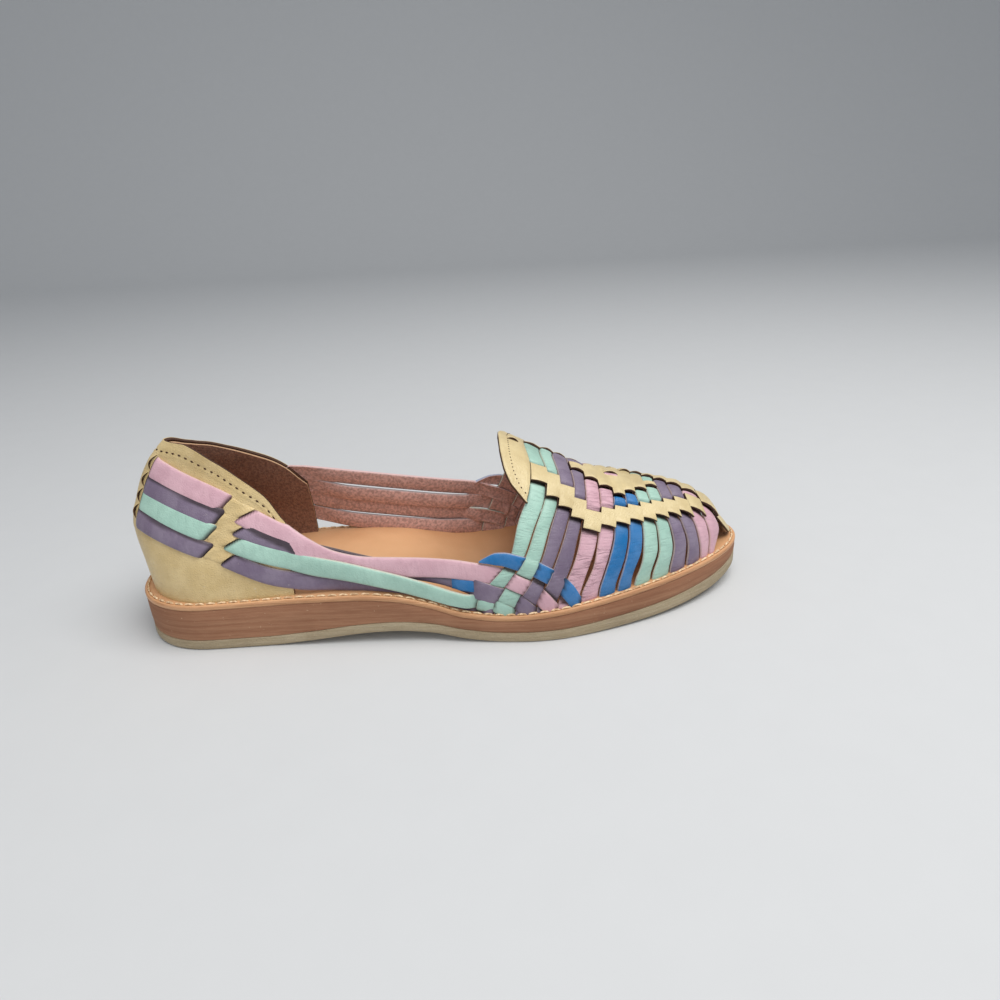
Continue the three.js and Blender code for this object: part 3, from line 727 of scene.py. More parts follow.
def strip_shape(k):
    """Strip k of the front: its two edge lines at every turn, joined straight across. Its
    height follows the slits of the centre piece and, at both foot lines, the braid."""
    turn = np.concatenate([np.linspace(0, 0.16, 64), np.linspace(0.16, 0.84, 190)[1:-1],
                           np.linspace(0.84, 1, 64)])
    w = np.linspace(0, 1, 7)
    rear, fore = strip_lines[k - 1](turn) + open_half(k - 1, turn), strip_lines[k](turn) - open_half(k, turn)
    s = mix(rear[:, None], fore[:, None], w)
    t = np.broadcast_to(turn[:, None], s.shape)
    base = front(s, t)
    y = base[..., 1] - centre(s)
    a, b, c, c2, b2, a2 = (column[k - 1] for column in SLITS.values())
    outside, under, window = mm("strip_level"), mm("under_level"), mm("window_level")
    level = outside + (under - outside) * (step(y, a - 1.1, a + 0.2) - step(y, a2 - 0.2, a2 + 1.1))
    level = level + (window - under) * (step(y, b, b + 1.7) - step(y, b2 - 1.7, b2))
    if c2 - c > 0.5:
        level = level - (window - under) * (step(y, c - 1.6, c - 0.1) - step(y, c2 + 0.1, c2 + 1.6))
    # Painted shade: the strip darkens where it goes under the gold leather, though not in its windows.
    beyond = step(y, a - 1.2, a - 0.2) * (1 - step(y, a2 + 0.2, a2 + 1.2))
    seen = step(y, b, b + 0.5) * (1 - step(y, b2 - 1.7, b2 - 0.4))
    if c2 - c > 0.5:
        seen = seen * (1 - step(y, c - 1.5, c - 0.3) * (1 - step(y, c2 + 0.3, c2 + 1.5)))
    shade_mask = beyond * (1 - seen)
    if k <= 5:
        for strands, here in ((OUTER_STRANDS, t < 0.5), (INNER_STRANDS, t > 0.5)):
            count = strand_count(s, base[..., 2], strands)
            woven = mm("braid_level") - mm("braid_height") * swing(np.pi * (count + k))
            level = np.where(here, mix(level, woven, step(count, 0.35, 0.7)), level)
            # Painted shade where a braid strand lies over the strip.
            braided = np.where(here, step(count, 0.5, 0.7), 0 * count)
            shade_mask = np.maximum(shade_mask * (1 - braided), braided * step(level, 1.45, 1.05))
    level = level - 0.5 * np.abs(2 * w - 1) ** 3 + 0.35 * (0.5 - w)
    normals = outward(front, s, t, SKIN_STEP, TURN_STEP)
    return sheet(base, normals, level - mm("strip_thickness"), level, recess=shade_mask)


def on_line(k, y):
    """s of the line between strips k and k + 1 where it is y from the centre line: the line
    is read at the turn of the last guess, six times."""
    s = np.full(np.shape(y), float(strip_lines[k](0.4)))
    for _ in range(6):
        s = strip_lines[k](turn_at(s, y))
    return s


STATIONS = np.array([0.0, 0.12, 0.3, 0.5, 0.7, 0.88, 1.0])
GOLD_COLUMNS = np.array([0.0, 0.08, 0.2, 0.36, 0.5, 0.64, 0.8, 0.92, 1.0])


def band_shape(inner, outer, first, last, lips):
    """One long piece of gold leather over strips first to last: at each strip it spans from
    one slit to the other, and it steps sideways on the line between two strips. Its edges
    rise in a sine over each strip where the strip comes out from under them."""
    s_rows, y_rows, lift_rows = [], [], []
    for k in range(first, last + 1):
        y = mix(SLITS[inner][k - 1], SLITS[outer][k - 1], GOLD_COLUMNS)
        rear, fore = on_line(k - 1, y) + 0.08, on_line(k, y) - 0.08
        s_rows.append(mix(rear[None], fore[None], STATIONS[:, None]))
        y_rows.append(np.broadcast_to(y, (len(STATIONS), len(y))))
        bulge = np.sin(np.pi * STATIONS)[:, None]
        near = lips[0] * step(GOLD_COLUMNS, 0.45, 0) + lips[1] * step(GOLD_COLUMNS, 0.55, 1)
        lift_rows.append(bulge * near)
    s, y, lift = (np.concatenate(r) for r in (s_rows, y_rows, lift_rows))
    normals = outward(front_at, s, y, SKIN_STEP, SKIN_STEP)
    low = mm("gold_level") + lift
    return sheet(front_at(s, y), normals, low, low + mm("gold_thickness"), 0.22)


def tongue_shape():
    """The tongue: between its own edge and the rear edge of strip 1, turn by turn, thicker
    along the folded edge and slightly raised there."""
    edge = curve(TONGUE, "turn", "s")
    turn = np.linspace(TONGUE["turn"][0], TONGUE["turn"][-1], 90)
    v = np.array([0, 0.07, 0.16, 0.22, 0.3, 0.45, 0.6, 0.8, 1.0])
    front_line = np.maximum(strip_lines[0](turn) - 0.05, edge(turn) + 0.5)
    s = mix(edge(turn)[:, None], front_line[:, None], v)
    t = np.broadcast_to(turn[:, None], s.shape)
    base = front(s, t)
    from_edge = s - edge(turn)[:, None]
    fold = 0.45 * step(from_edge, 2.6, 1.2) + 0.1 * step(from_edge, 5, 4.2)
    low = mm("gold_level") + 0 * s
    normals = outward(front, s, t, SKIN_STEP, TURN_STEP)
    return sheet(base, normals, low - 0.3, low + mm("gold_thickness") + 0.2 + fold, 0.3)


def toe_shape():
    """The end of the centre piece: from the last strip down to the footbed at the toe, widest
    there, so that a small opening is left on both sides of it."""
    v = np.linspace(0, 1, 21)[:, None]
    u = np.linspace(0, 1, 25)[None]
    turn = mix(mix(0.37, 0.1, v**1.4), mix(0.66, 0.97, v), u)
    s = mix(strip_lines[-1](turn) - 1.2, LENGTH - TOE_INSET - 0.35 + 0 * turn, v)
    normals = outward(front, s, turn, SKIN_STEP, TURN_STEP)
    low = mm("gold_level") - 0.6 - 0.5 * (1 - v) * np.ones(turn.shape)
    return sheet(front(s, turn), normals, low, low + 1.0, 0.25)


TONGUE_HEM = 3.3
TONGUE_STITCH = 0.0052  # length of one, in turns


def tongue_stitches():
    """Short threads along the tongue, TONGUE_HEM in from its edge."""
    edge = curve(TONGUE, "turn", "s")
    turn = np.linspace(0.285, 0.675, 34)
    share = np.linspace(-0.5, 0.5, 4)
    t = turn[:, None] + share[None] * TONGUE_STITCH
    s = edge(t) + TONGUE_HEM
    points = front(s, t)
    lift = mm("gold_level") + mm("gold_thickness") + 0.16
    return points + outward(front, s, t, SKIN_STEP, TURN_STEP) * lift


def collar_height(place):
    """Height of the counter's top edge, a little lower on the inner side."""
    inner_drop = 3 * np.exp(-(((place - 0.5) / 0.22) ** 2)) + 1.5 * step(place, 0.55, 0.8)
    return footbed_top(HEEL_SEAT) + HEEL_RISE * collar(np.abs(place)) - inner_drop


def counter_rows(count, low, high):
    """Places and heights of the counter: fine rows near its top edge."""
    base = footbed_top(HEEL_SEAT)
    place = np.sin(np.linspace(-0.5, 0.5, 181) * np.pi)
    v = 1 - np.linspace(1, 0, count) ** 1.6
    top = collar_height(place) - high
    foot = np.full(place.shape, base + low)
    z = mix(foot[:, None], top[:, None], v)
    return z, np.broadcast_to(place[:, None], z.shape), top


def counter_shape():
    """The heel cup's leather: raised along its folded top edge, grooved under the stitches."""
    z, place, top = counter_rows(46, -1.2, 0)
    depth = top[:, None] - z
    fold = 0.35 * step(depth, 5.4, 4.6) - 0.28 * np.exp(-(((depth - COLLAR_HEM) / 0.5) ** 2))
    level = mm("counter_level") + fold * step(np.abs(place), 1.0, 0.98)
    normals = outward(side, z, place, SKIN_STEP, PLACE_STEP)
    return sheet(side(z, place), normals, -0.15, level, 0.5)


def lining_shape():
    """The lining inside the heel cup, with soft ripples in its upper part."""
    z, place, _ = counter_rows(30, -1.2, 0.5)
    normals = outward(side, z, place, SKIN_STEP, PLACE_STEP)
    ripple = 0.12 * np.sin(place * 9 + z * 0.21) * step(z, 22, 40)
    return sheet(side(z, place), normals, -1.15 + ripple, -0.2, 0.35)


COLLAR_STITCH_PITCH = 2.9
COLLAR_STITCH = 1.5


def collar_stitches():
    """Short dark stitches COLLAR_HEM under the collar's edge, evenly spaced round the heel."""
    fine = np.linspace(-0.985, 0.985, 2001)
    line = side(collar_height(fine) - COLLAR_HEM, fine)
    along = np.concatenate([[0], np.cumsum(np.linalg.norm(np.diff(line, axis=0), axis=1))])
    count = int(along[-1] / COLLAR_STITCH_PITCH)
    start = np.linspace(0.6, along[-1] - 1.8, count)
    at = start[:, None] + np.linspace(0, 1, 4)[None] * COLLAR_STITCH
    place = np.interp(at, along, fine)
    z = collar_height(place) - COLLAR_HEM
    level = mm("counter_level") - 0.02
    return side(z, place) + outward(side, z, place, SKIN_STEP, PLACE_STEP) * level


LIP_THICKNESS = 0.75


def rail_shape(sign):
    """The diagonal rail of one side: a sheet between its rear and front edge lines, whose
    points step in and out. It lies flush on the counter and rises in a sine over each band
    that comes out from under it; its rim sinks into the counter everywhere else."""
    order = np.linspace(0, 7, 7 * 8 + 1)
    rear_place, rear_z, front_place, front_z = (np.interp(order, np.arange(8), RAIL[c]) for c in RAIL)
    v = np.linspace(0, 1, 13)
    place = sign * np.abs(mix(rear_place[:, None], front_place[:, None], v))
    z = mix(rear_z[:, None], front_z[:, None], v)
    finger = np.abs(np.sin(np.pi * order)) * (np.floor(order) % 2 == 0)
    lift = finger[:, None] ** 0.6 * (0.85 * step(v, 0.5, 1) + 0.6 * step(v, 0.4, 0))
    rim = np.zeros(lift.shape)
    rim[[0, -1]] = 1
    rim[:, [0, -1]] = 1
    low = mm("counter_level") - LIP_THICKNESS + 0.14 + lift - 0.3 * rim * (1 - finger[:, None])
    normals = outward(side, z, place, SKIN_STEP, PLACE_STEP)
    return sheet(side(z, place), normals, low, low + LIP_THICKNESS, 0.2)


def spine_shape():
    """The upright column at the back, which holds the four bands: flush on the counter, its
    two edges raised over each band."""
    centres = [eased(curve(p, "place", "z"), PATH_EASE)(0.0) for p in STRAP_PATHS]
    z = np.linspace(centres[-1] - 6.5, centres[0] + 5.5, 120)
    v = np.linspace(-1, 1, 15)
    over = np.max([np.cos(np.clip((z - c) / 3.2, -1, 1) * np.pi / 2) for c in centres], 0)[:, None]
    place = 0.23 * v[None] * (1 - 0.2 * over)
    heights = np.broadcast_to(z[:, None], place.shape)
    rim = np.zeros(place.shape)
    rim[[0, -1]] = 1
    rim[:, [0, -1]] = 1
    low = mm("counter_level") - LIP_THICKNESS + 0.14 + 1.05 * over * np.abs(v) ** 3 - 0.3 * rim * (1 - over)
    normals = outward(side, heights, place, SKIN_STEP, PLACE_STEP)
    return sheet(side(heights, place), normals, low, low + LIP_THICKNESS, 0.2)


def crest_cut(start, end, y, width, rise, level):
    """A cut in the gold leather along the crest: a flap whose outer edge rises in a sine,
    and whose other edges sink into the leather round it."""
    u = np.linspace(0, 1, 13)[:, None]
    v = np.linspace(0, 1, 9)[None]
    s = np.broadcast_to(mix(start, end, u), (13, 9))
    off = np.broadcast_to(mix(y, y + width, v), (13, 9))
    bulge = np.sin(np.pi * u) ** 0.7
    sunk = np.maximum(v == 1, (1 - bulge) * np.maximum(v == 0, np.maximum(u == 0, u == 1)))
    low = level + rise * bulge * step(v, 1.0, 0) - 0.35 * sunk
    normals = outward(front_at, s, off, SKIN_STEP, SKIN_STEP)
    return sheet(front_at(s, off), normals, low, low + 0.7, 0.2)




# ---- finishes -------------------------------------------------------------------------------


def tint(red, green, blue):
    """Linear colour from eight-bit display values."""
    value = np.array([red, green, blue]) / 255
    return tuple(np.where(value > 0.04045, ((value + 0.055) / 1.055) ** 2.4, value / 12.92).tolist())


class Tree:
    """A node tree that is filled by short calls: inputs are values or sockets."""

    def __init__(self, tree):
        self.tree = tree

    def add(self, kind, settings=None, **inputs):
        node = self.tree.nodes.new(kind)
        for key, value in (settings or {}).items():
            setattr(node, key, value)
        for key, value in inputs.items():
            name = int(key[1:]) if key[0] == "i" and key[1:].isdigit() else key.replace("_", " ")
            if isinstance(value, bpy.types.NodeSocket):
                self.tree.links.new(value, node.inputs[name])
            else:
                node.inputs[name].default_value = value
        return node

    def math(self, operation, a, b=0.0, clamp=False):
        settings = {"operation": operation, "use_clamp": clamp}
        return self.add("ShaderNodeMath", settings, i0=a, i1=b).outputs[0]

    def ramp(self, value, low, high, to_low=0.0, to_high=1.0):
        node = self.add("ShaderNodeMapRange", {"interpolation_type": "SMOOTHSTEP"}, Value=value)
        for key, number in zip(("From Min", "From Max", "To Min", "To Max"), (low, high, to_low, to_high)):
            node.inputs[key].default_value = number
        return node.outputs[0]

    def blend(self, factor, a, b, mode="MIX"):
        node = self.tree.nodes.new("ShaderNodeMix")
        node.data_type = "RGBA"
        node.blend_type = mode
        for index, value in ((0, factor), (6, a), (7, b)):
            if isinstance(value, bpy.types.NodeSocket):
                self.tree.links.new(value, node.inputs[index])
            else:
                node.inputs[index].default_value = value if index == 0 else (*value, 1)[:4]
        return node.outputs[2]

    def noise(self, vector, scale, detail=3.0, roughness=0.55):
        node = self.add("ShaderNodeTexNoise", None, Vector=vector, Scale=scale, Detail=detail,
                        Roughness=roughness)
        return node.outputs[0]

    def stretched(self, vector, x, y, z):
        return self.add("ShaderNodeMapping", None, Vector=vector, Scale=(x, y, z)).outputs[0]


def new_group(name, inputs, outputs):
    """An empty node group with named sockets: returns its Tree, input and output nodes."""
    group = bpy.data.node_groups.new(name, "ShaderNodeTree")
    for direction, sockets in (("INPUT", inputs), ("OUTPUT", outputs)):
        for label, kind, *default in sockets:
            socket = group.interface.new_socket(label, in_out=direction, socket_type="NodeSocket" + kind)
            if default:
                socket.default_value = default[0]
    tree = Tree(group)
    return tree, tree.add("NodeGroupInput"), tree.add("NodeGroupOutput")


def grain_group():
    """Leather grain: small pebbles from cells of a Voronoi pattern over a soft noise."""
    tree, given, made = new_group(
        "Leather grain",
        [("Vector", "Vector"), ("Scale", "Float", 900.0)],
        [("Height", "Float"), ("Tone", "Float")],
    )
    cells = tree.add("ShaderNodeTexVoronoi", {"feature": "DISTANCE_TO_EDGE"},
                     Vector=given.outputs[0], Scale=given.outputs[1])
    pebble = tree.ramp(cells.outputs["Distance"], 0.0, 0.35)
    soft = tree.noise(given.outputs[0], 420.0, 4.0)
    height = tree.math("ADD", tree.math("MULTIPLY", pebble, 0.55), tree.math("MULTIPLY", soft, 0.45))
    tone = tree.noise(given.outputs[0], 95.0, 5.0, 0.6)
    tree.tree.links.new(height, made.inputs[0])
    tree.tree.links.new(tone, made.inputs[1])
    return tree.tree


def crease_group():
    """Creases across a strip: noise stretched along its width and squeezed along its length,
    broken up by a second noise."""
    tree, given, made = new_group(
        "Cross creases",
        [("Vector", "Vector"), ("Density", "Float", 6.0)],
        [("Height", "Float"), ("Mask", "Float")],
    )
    bend = tree.noise(given.outputs[0], 3.0, 2.0)
    parts = tree.add("ShaderNodeSeparateXYZ", None, Vector=given.outputs[0])
    along = tree.math("ADD", tree.math("MULTIPLY", parts.outputs[0], given.outputs[1]), bend)
    across = tree.math("MULTIPLY", parts.outputs[1], 0.7)
    vector = tree.add("ShaderNodeCombineXYZ", None, X=along, Y=across).outputs[0]
    lines = tree.noise(vector, 1.5, 3.0, 0.6)
    fold = tree.ramp(lines, 0.33, 0.56)
    patch = tree.ramp(tree.noise(given.outputs[0], 0.9, 2.0), 0.3, 0.6)
    mask = tree.math("MULTIPLY", tree.math("SUBTRACT", 1.0, fold), patch)
    tree.tree.links.new(tree.math("SUBTRACT", 1.0, mask), made.inputs[0])
    tree.tree.links.new(mask, made.inputs[1])
    return tree.tree


def faces_group():
    """Colour of a cut piece of leather by its side value: grain face, pale or dark cut rim,
    fuzzy flesh face; rubbed lighter just beside the rim."""
    tree, given, made = new_group(
        "Cut leather",
        [("Side", "Float"), ("Grain", "Color"), ("Rim", "Color"), ("Flesh", "Color"),
         ("Vector", "Vector"), ("Wear", "Float", 0.35)],
        [("Color", "Color"), ("Flesh mask", "Float"), ("Rim mask", "Float")],
    )
    fray = tree.math("MULTIPLY", tree.math("SUBTRACT", tree.noise(given.outputs[4], 700.0), 0.5), 0.5)
    value = tree.math("ADD", given.outputs[0], fray)
    grain = tree.ramp(value, 0.42, 0.62)
    flesh = tree.ramp(given.outputs[0], -0.75, -0.45, 1.0, 0.0)
    worn = tree.math("MULTIPLY", tree.ramp(value, 1.0, 0.55), given.outputs[5])
    face = tree.blend(worn, given.outputs[1], given.outputs[2])
    colour = tree.blend(grain, given.outputs[2], face)
    fuzz = tree.ramp(tree.noise(given.outputs[4], 900.0, 3.0), 0.32, 0.68, 0.7, 1.2)
    grey = tree.add("ShaderNodeCombineXYZ", None, X=fuzz, Y=fuzz, Z=fuzz).outputs[0]
    shaded = tree.blend(1.0, given.outputs[3], grey, "MULTIPLY")
    colour = tree.blend(flesh, colour, shaded)
    tree.tree.links.new(colour, made.inputs[0])
    tree.tree.links.new(flesh, made.inputs[1])
    tree.tree.links.new(tree.math("SUBTRACT", 1.0, grain), made.inputs[2])
    return tree.tree


def soil_group():
    """Uneven tone and dust: large soft patches make the colour a little darker, fine specks
    take on the dust colour."""
    tree, given, made = new_group(
        "Soil and dust",
        [("Vector", "Vector"), ("Color", "Color"), ("Dust", "Color"), ("Amount", "Float", 0.3)],
        [("Color", "Color"), ("Mask", "Float")],
    )
    patch = tree.ramp(tree.noise(given.outputs[0], 38.0, 5.0), 0.35, 0.7)
    speck = tree.ramp(tree.noise(given.outputs[0], 700.0, 2.0), 0.69, 0.8)
    darker = tree.blend(tree.math("MULTIPLY", patch, given.outputs[3]), given.outputs[1],
                        tree.blend(1.0, given.outputs[1], (0.72, 0.68, 0.66), "MULTIPLY"))
    mask = tree.math("MULTIPLY", speck, given.outputs[3])
    tree.tree.links.new(tree.blend(mask, darker, given.outputs[2]), made.inputs[0])
    tree.tree.links.new(mask, made.inputs[1])
    return tree.tree


def streak_group():
    """Fine level streaks in stacked or sanded layers: noise squeezed in height, at two sizes."""
    tree, given, made = new_group(
        "Sanded layers",
        [("Vector", "Vector"), ("Base", "Color"), ("Streak", "Color"), ("Amount", "Float", 0.5)],
        [("Color", "Color"), ("Height", "Float")],
    )
    wide = tree.noise(tree.stretched(given.outputs[0], 14, 14, 620), 1.0, 4.0, 0.65)
    fine = tree.noise(tree.stretched(given.outputs[0], 120, 120, 2600), 1.0, 3.0, 0.7)
    both = tree.math("ADD", tree.math("MULTIPLY", wide, 0.6), tree.math("MULTIPLY", fine, 0.4))
    mask = tree.math("MULTIPLY", tree.ramp(both, 0.4, 0.62), given.outputs[3])
    tree.tree.links.new(tree.blend(mask, given.outputs[1], given.outputs[2]), made.inputs[0])
    tree.tree.links.new(both, made.inputs[1])
    return tree.tree


GROUP_MAKERS = {
    "Leather grain": grain_group, "Cross creases": crease_group, "Cut leather": faces_group,
    "Soil and dust": soil_group, "Sanded layers": streak_group,
}


def group(tree, name, **inputs):
    """Places a shared node group, which is built the first time."""
    if name not in bpy.data.node_groups:
        GROUP_MAKERS[name]()
    return tree.add("ShaderNodeGroup", {"node_tree": bpy.data.node_groups[name]}, **inputs)


def start_material(name, roughness, specular=0.5):
    material = bpy.data.materials.new(name)
    material.use_nodes = True
    tree = Tree(material.node_tree)
    shader = material.node_tree.nodes["Principled BSDF"]
    shader.inputs["Roughness"].default_value = roughness
    shader.inputs["Specular IOR Level"].default_value = specular
    coordinates = tree.add("ShaderNodeTexCoord")
    return material, tree, shader, coordinates


def leather(name, colour, rim, flesh, roughness=0.45, creases=0.3, density=6.0, grain=0.25,
            wear=0.35, soil=0.25, dust=(0.75, 0.7, 0.62)):
    """Thin cut leather with grain, creases across it, a cut rim and a fuzzy flesh side."""
    if name in bpy.data.materials:
        return bpy.data.materials[name]
    material, tree, shader, coordinates = start_material(name, roughness)
    place, flat = coordinates.outputs["Object"], coordinates.outputs["UV"]
    side_value = tree.add("ShaderNodeAttribute", {"attribute_name": "side"}).outputs["Fac"]
    recess = tree.add("ShaderNodeAttribute", {"attribute_name": "recess"}).outputs["Fac"]
    pebbles = group(tree, "Leather grain", Vector=place, Scale=1100.0)
    lines = group(tree, "Cross creases", Vector=flat, Density=density)
    deep = tree.blend(1.0, colour, (0.62, 0.58, 0.6), "MULTIPLY")
    pale = tree.blend(0.16, colour, (1.0, 0.98, 0.95))
    toned = tree.blend(tree.ramp(pebbles.outputs["Tone"], 0.3, 0.7), tree.blend(0.35, colour, deep),
                       tree.blend(0.4, colour, pale))
    # Painted shade: the colour goes darker in the crease valleys.
    folded = tree.blend(tree.math("MULTIPLY", lines.outputs["Mask"], min(1.0, creases)), toned, deep)
    dirty = group(tree, "Soil and dust", Vector=place, Color=folded, Dust=(*dust, 1), Amount=soil)
    cut = group(tree, "Cut leather", Side=side_value, Grain=dirty.outputs["Color"], Rim=(*rim, 1),
                Flesh=(*flesh, 1), Vector=place, Wear=wear)
    # Painted shade: the colour is multiplied by near black where the recess attribute marks a part diving
    # under a neighbour.
    shaded = tree.blend(1.0, cut.outputs["Color"], (0.13, 0.09, 0.08), "MULTIPLY")
    tree.tree.links.new(tree.blend(recess, cut.outputs["Color"], shaded), shader.inputs["Base Color"])
    rough = tree.math("ADD", tree.math("MULTIPLY", pebbles.outputs["Tone"], 0.25), roughness - 0.1)
    rough = tree.math("ADD", rough, tree.math("MULTIPLY", cut.outputs["Flesh mask"], 0.4), True)
    rough = tree.math("ADD", rough, tree.math("MULTIPLY", cut.outputs["Rim mask"], 0.25), True)
    tree.tree.links.new(rough, shader.inputs["Roughness"])
    height = tree.math("ADD", tree.math("MULTIPLY", pebbles.outputs["Height"], grain),
                       tree.math("MULTIPLY", lines.outputs["Height"], creases))
    bump = tree.add("ShaderNodeBump", None, Strength=0.8, Distance=0.0004, Height=height)
    tree.tree.links.new(bump.outputs[0], shader.inputs["Normal"])
    return material


def sanded(name, base, streak, dust, roughness, amount, depth, crumbs=0.0):
    """Side of a sole layer: streaks, crumbs and dust."""
    material, tree, shader, coordinates = start_material(name, roughness, 0.25)
    place = coordinates.outputs["Object"]
    lines = group(tree, "Sanded layers", Vector=place, Base=(*base, 1), Streak=(*streak, 1), Amount=amount)
    dirty = group(tree, "Soil and dust", Vector=place, Color=lines.outputs["Color"],
                  Dust=(*dust, 1), Amount=0.5)
    tree.tree.links.new(dirty.outputs["Color"], shader.inputs["Base Color"])
    lumps = tree.noise(place, 520.0, 4.0, 0.7)
    height = tree.math("ADD", tree.math("MULTIPLY", lines.outputs["Height"], 0.5),
                       tree.math("MULTIPLY", lumps, crumbs))
    bump = tree.add("ShaderNodeBump", None, Strength=0.9, Distance=depth, Height=height)
    tree.tree.links.new(bump.outputs[0], shader.inputs["Normal"])
    rough = tree.math("ADD", tree.math("MULTIPLY", lumps, 0.2), roughness - 0.1, True)
    tree.tree.links.new(rough, shader.inputs["Roughness"])
    return material


def footbed_leather():
    """Smooth tan leather with faint pores and a browner cut rim."""
    look = bpy.context.scene.sandal_colours
    material, tree, shader, coordinates = start_material("Footbed leather", 0.5, 0.4)
    place = coordinates.outputs["Object"]
    pebbles = group(tree, "Leather grain", Vector=place, Scale=1500.0)
    tone = tree.ramp(tree.noise(place, 16.0, 4.0, 0.6), 0.3, 0.72)
    base = tree.blend(tone, look.footbed, tree.blend(1.0, look.footbed, (0.84, 0.76, 0.68), "MULTIPLY"))
    normal = tree.add("ShaderNodeNewGeometry").outputs["Normal"]
    parts = tree.add("ShaderNodeSeparateXYZ", None, Vector=normal)
    edge = tree.ramp(parts.outputs[2], 0.97, 0.6)
    layers = group(tree, "Sanded layers", Vector=place, Base=(*look.rim, 1),
                   Streak=(*tint(226, 178, 134), 1), Amount=0.8)
    base = tree.blend(edge, base, layers.outputs["Color"])
    dirty = group(tree, "Soil and dust", Vector=place, Color=base,
                  Dust=(*tint(235, 215, 190), 1), Amount=0.25)
    tree.tree.links.new(dirty.outputs["Color"], shader.inputs["Base Color"])
    height = tree.math("ADD", tree.math("MULTIPLY", pebbles.outputs["Height"], 0.12),
                       tree.math("MULTIPLY", tree.math("MULTIPLY", layers.outputs["Height"], edge), 0.6))
    bump = tree.add("ShaderNodeBump", None, Strength=0.7, Distance=0.0004, Height=height)
    tree.tree.links.new(bump.outputs[0], shader.inputs["Normal"])
    return material


def thread(name, colour):
    """Twisted thread: stripes across it from a wave on its length."""
    if name in bpy.data.materials:
        return bpy.data.materials[name]
    material, tree, shader, coordinates = start_material(name, 0.75, 0.3)
    place = coordinates.outputs["Object"]
    twist = tree.noise(place, 900.0, 2.0)
    stripe = tree.ramp(twist, 0.35, 0.65)
    darker = tree.blend(1.0, colour, (0.6, 0.52, 0.45), "MULTIPLY")
    tree.tree.links.new(tree.blend(stripe, colour, darker), shader.inputs["Base Color"])
    bump = tree.add("ShaderNodeBump", None, Strength=0.6, Distance=0.0002, Height=twist)
    tree.tree.links.new(bump.outputs[0], shader.inputs["Normal"])
    return material


def strap_leather(colour_name, creases=0.3, density=6.0):
    """Leather of a strip or strap in one of the shoe's colours."""
    look = bpy.context.scene.sandal_colours
    colour = tuple(getattr(look, colour_name))
    rim = tuple(mix(np.array(colour), np.array(look.cut_rim), 0.55).tolist())
    name = f"{colour_name} leather {creases:g}"
    return leather(name, colour, rim, tuple(look.flesh), 0.42, creases, density)


def gold_leather(colour_name):
    """Pale gold leather, dark where it is cut."""
    look = bpy.context.scene.sandal_colours
    colour = tuple(getattr(look, colour_name))
    cut = tuple(look.slit)
    # The flesh face takes the dark slit colour as painted shade under the lips raised over the slits.
    return leather(colour_name + " leather", colour, cut, cut, 0.36,
                   creases=0.12, density=3.0, grain=0.5, wear=0.12, soil=0.35)


# ---- settings -------------------------------------------------------------------------------


def length(label, text, millimetres):
    return bpy.props.FloatProperty(name=label, description=text, default=millimetres * MM,
                                   unit="LENGTH", subtype="DISTANCE", precision=5)


def colour(label, text, *value):
    return bpy.props.FloatVectorProperty(name=label, description=text, default=tint(*value),
                                         subtype="COLOR", size=3, min=0, max=1)


class SandalSizes(bpy.types.PropertyGroup):
    """Thicknesses, widths and levels over the form."""

    strip_thickness: length("Strip thickness", "Leather of the front strips", 1.1)
    strip_gap: length("Strip gap", "Space between two neighbouring strips", 0.5)
    strap_thickness: length("Strap thickness", "Leather of the side straps", 1.2)
    strap_width: length("Strap width", "Width of the side straps", 7.5)
    gold_thickness: length("Gold thickness", "Leather of the centre piece", 1.25)
    gold_level: length("Gold level", "Flesh face of the centre piece over the form", 0.6)
    strip_level: length("Strip level", "Grain face of a strip outside the centre piece", 0.8)
    under_level: length("Under level", "Grain face of a strip under the centre piece", 0.45)
    window_level: length("Window level", "Grain face of a strip in a window", 1.75)
    braid_level: length("Braid level", "Middle level of the braid", 1.15)
    braid_height: length("Braid height", "Rise and fall of the braid about its level", 0.62)
    counter_level: length("Counter level", "Outer face of the heel counter", 1.0)
    stitch_pitch: length("Stitch pitch", "From one footbed stitch to the next", 4.3)


class SandalColours(bpy.types.PropertyGroup):
    """Colours of the leathers, the sole and the threads."""

    mint: colour("Mint", "Mint strips and strap", 170, 212, 196)
    pink: colour("Pink", "Pink strips", 223, 178, 191)
    purple: colour("Purple", "Purple strips and straps", 126, 111, 136)
    blue: colour("Blue", "Blue strips and strand", 0, 116, 184)
    gold: colour("Gold", "Centre piece", 226, 206, 154)
    heel_gold: colour("Heel gold", "Counter, rails and back column", 222, 196, 138)
    cut_rim: colour("Cut rim", "Cut edges of the straps", 205, 185, 170)
    flesh: colour("Flesh side", "Inner face of the straps", 206, 166, 158)
    # The slit colour also paints the gold's flesh face dark as shade under its raised lips, and colours the
    # dark thread.
    slit: colour("Slit", "Cut edges of the gold leather", 70, 42, 26)
    lining: colour("Lining", "Lining of the heel counter", 146, 108, 90)
    lining_rim: colour("Lining rim", "Cut edge of the lining", 196, 160, 124)
    footbed: colour("Footbed", "Footbed leather", 222, 174, 130)
    rim: colour("Footbed rim", "Edge of the footbed", 186, 134, 94)
    stitches: colour("Stitches", "Thread round the footbed", 246, 218, 180)
    midsole: colour("Midsole", "Side of the midsole", 152, 107, 81)
    outsole: colour("Outsole", "Side of the outsole", 170, 154, 126)
    backdrop: colour("Backdrop", "Floor and wall of the studio", 208, 210, 212)


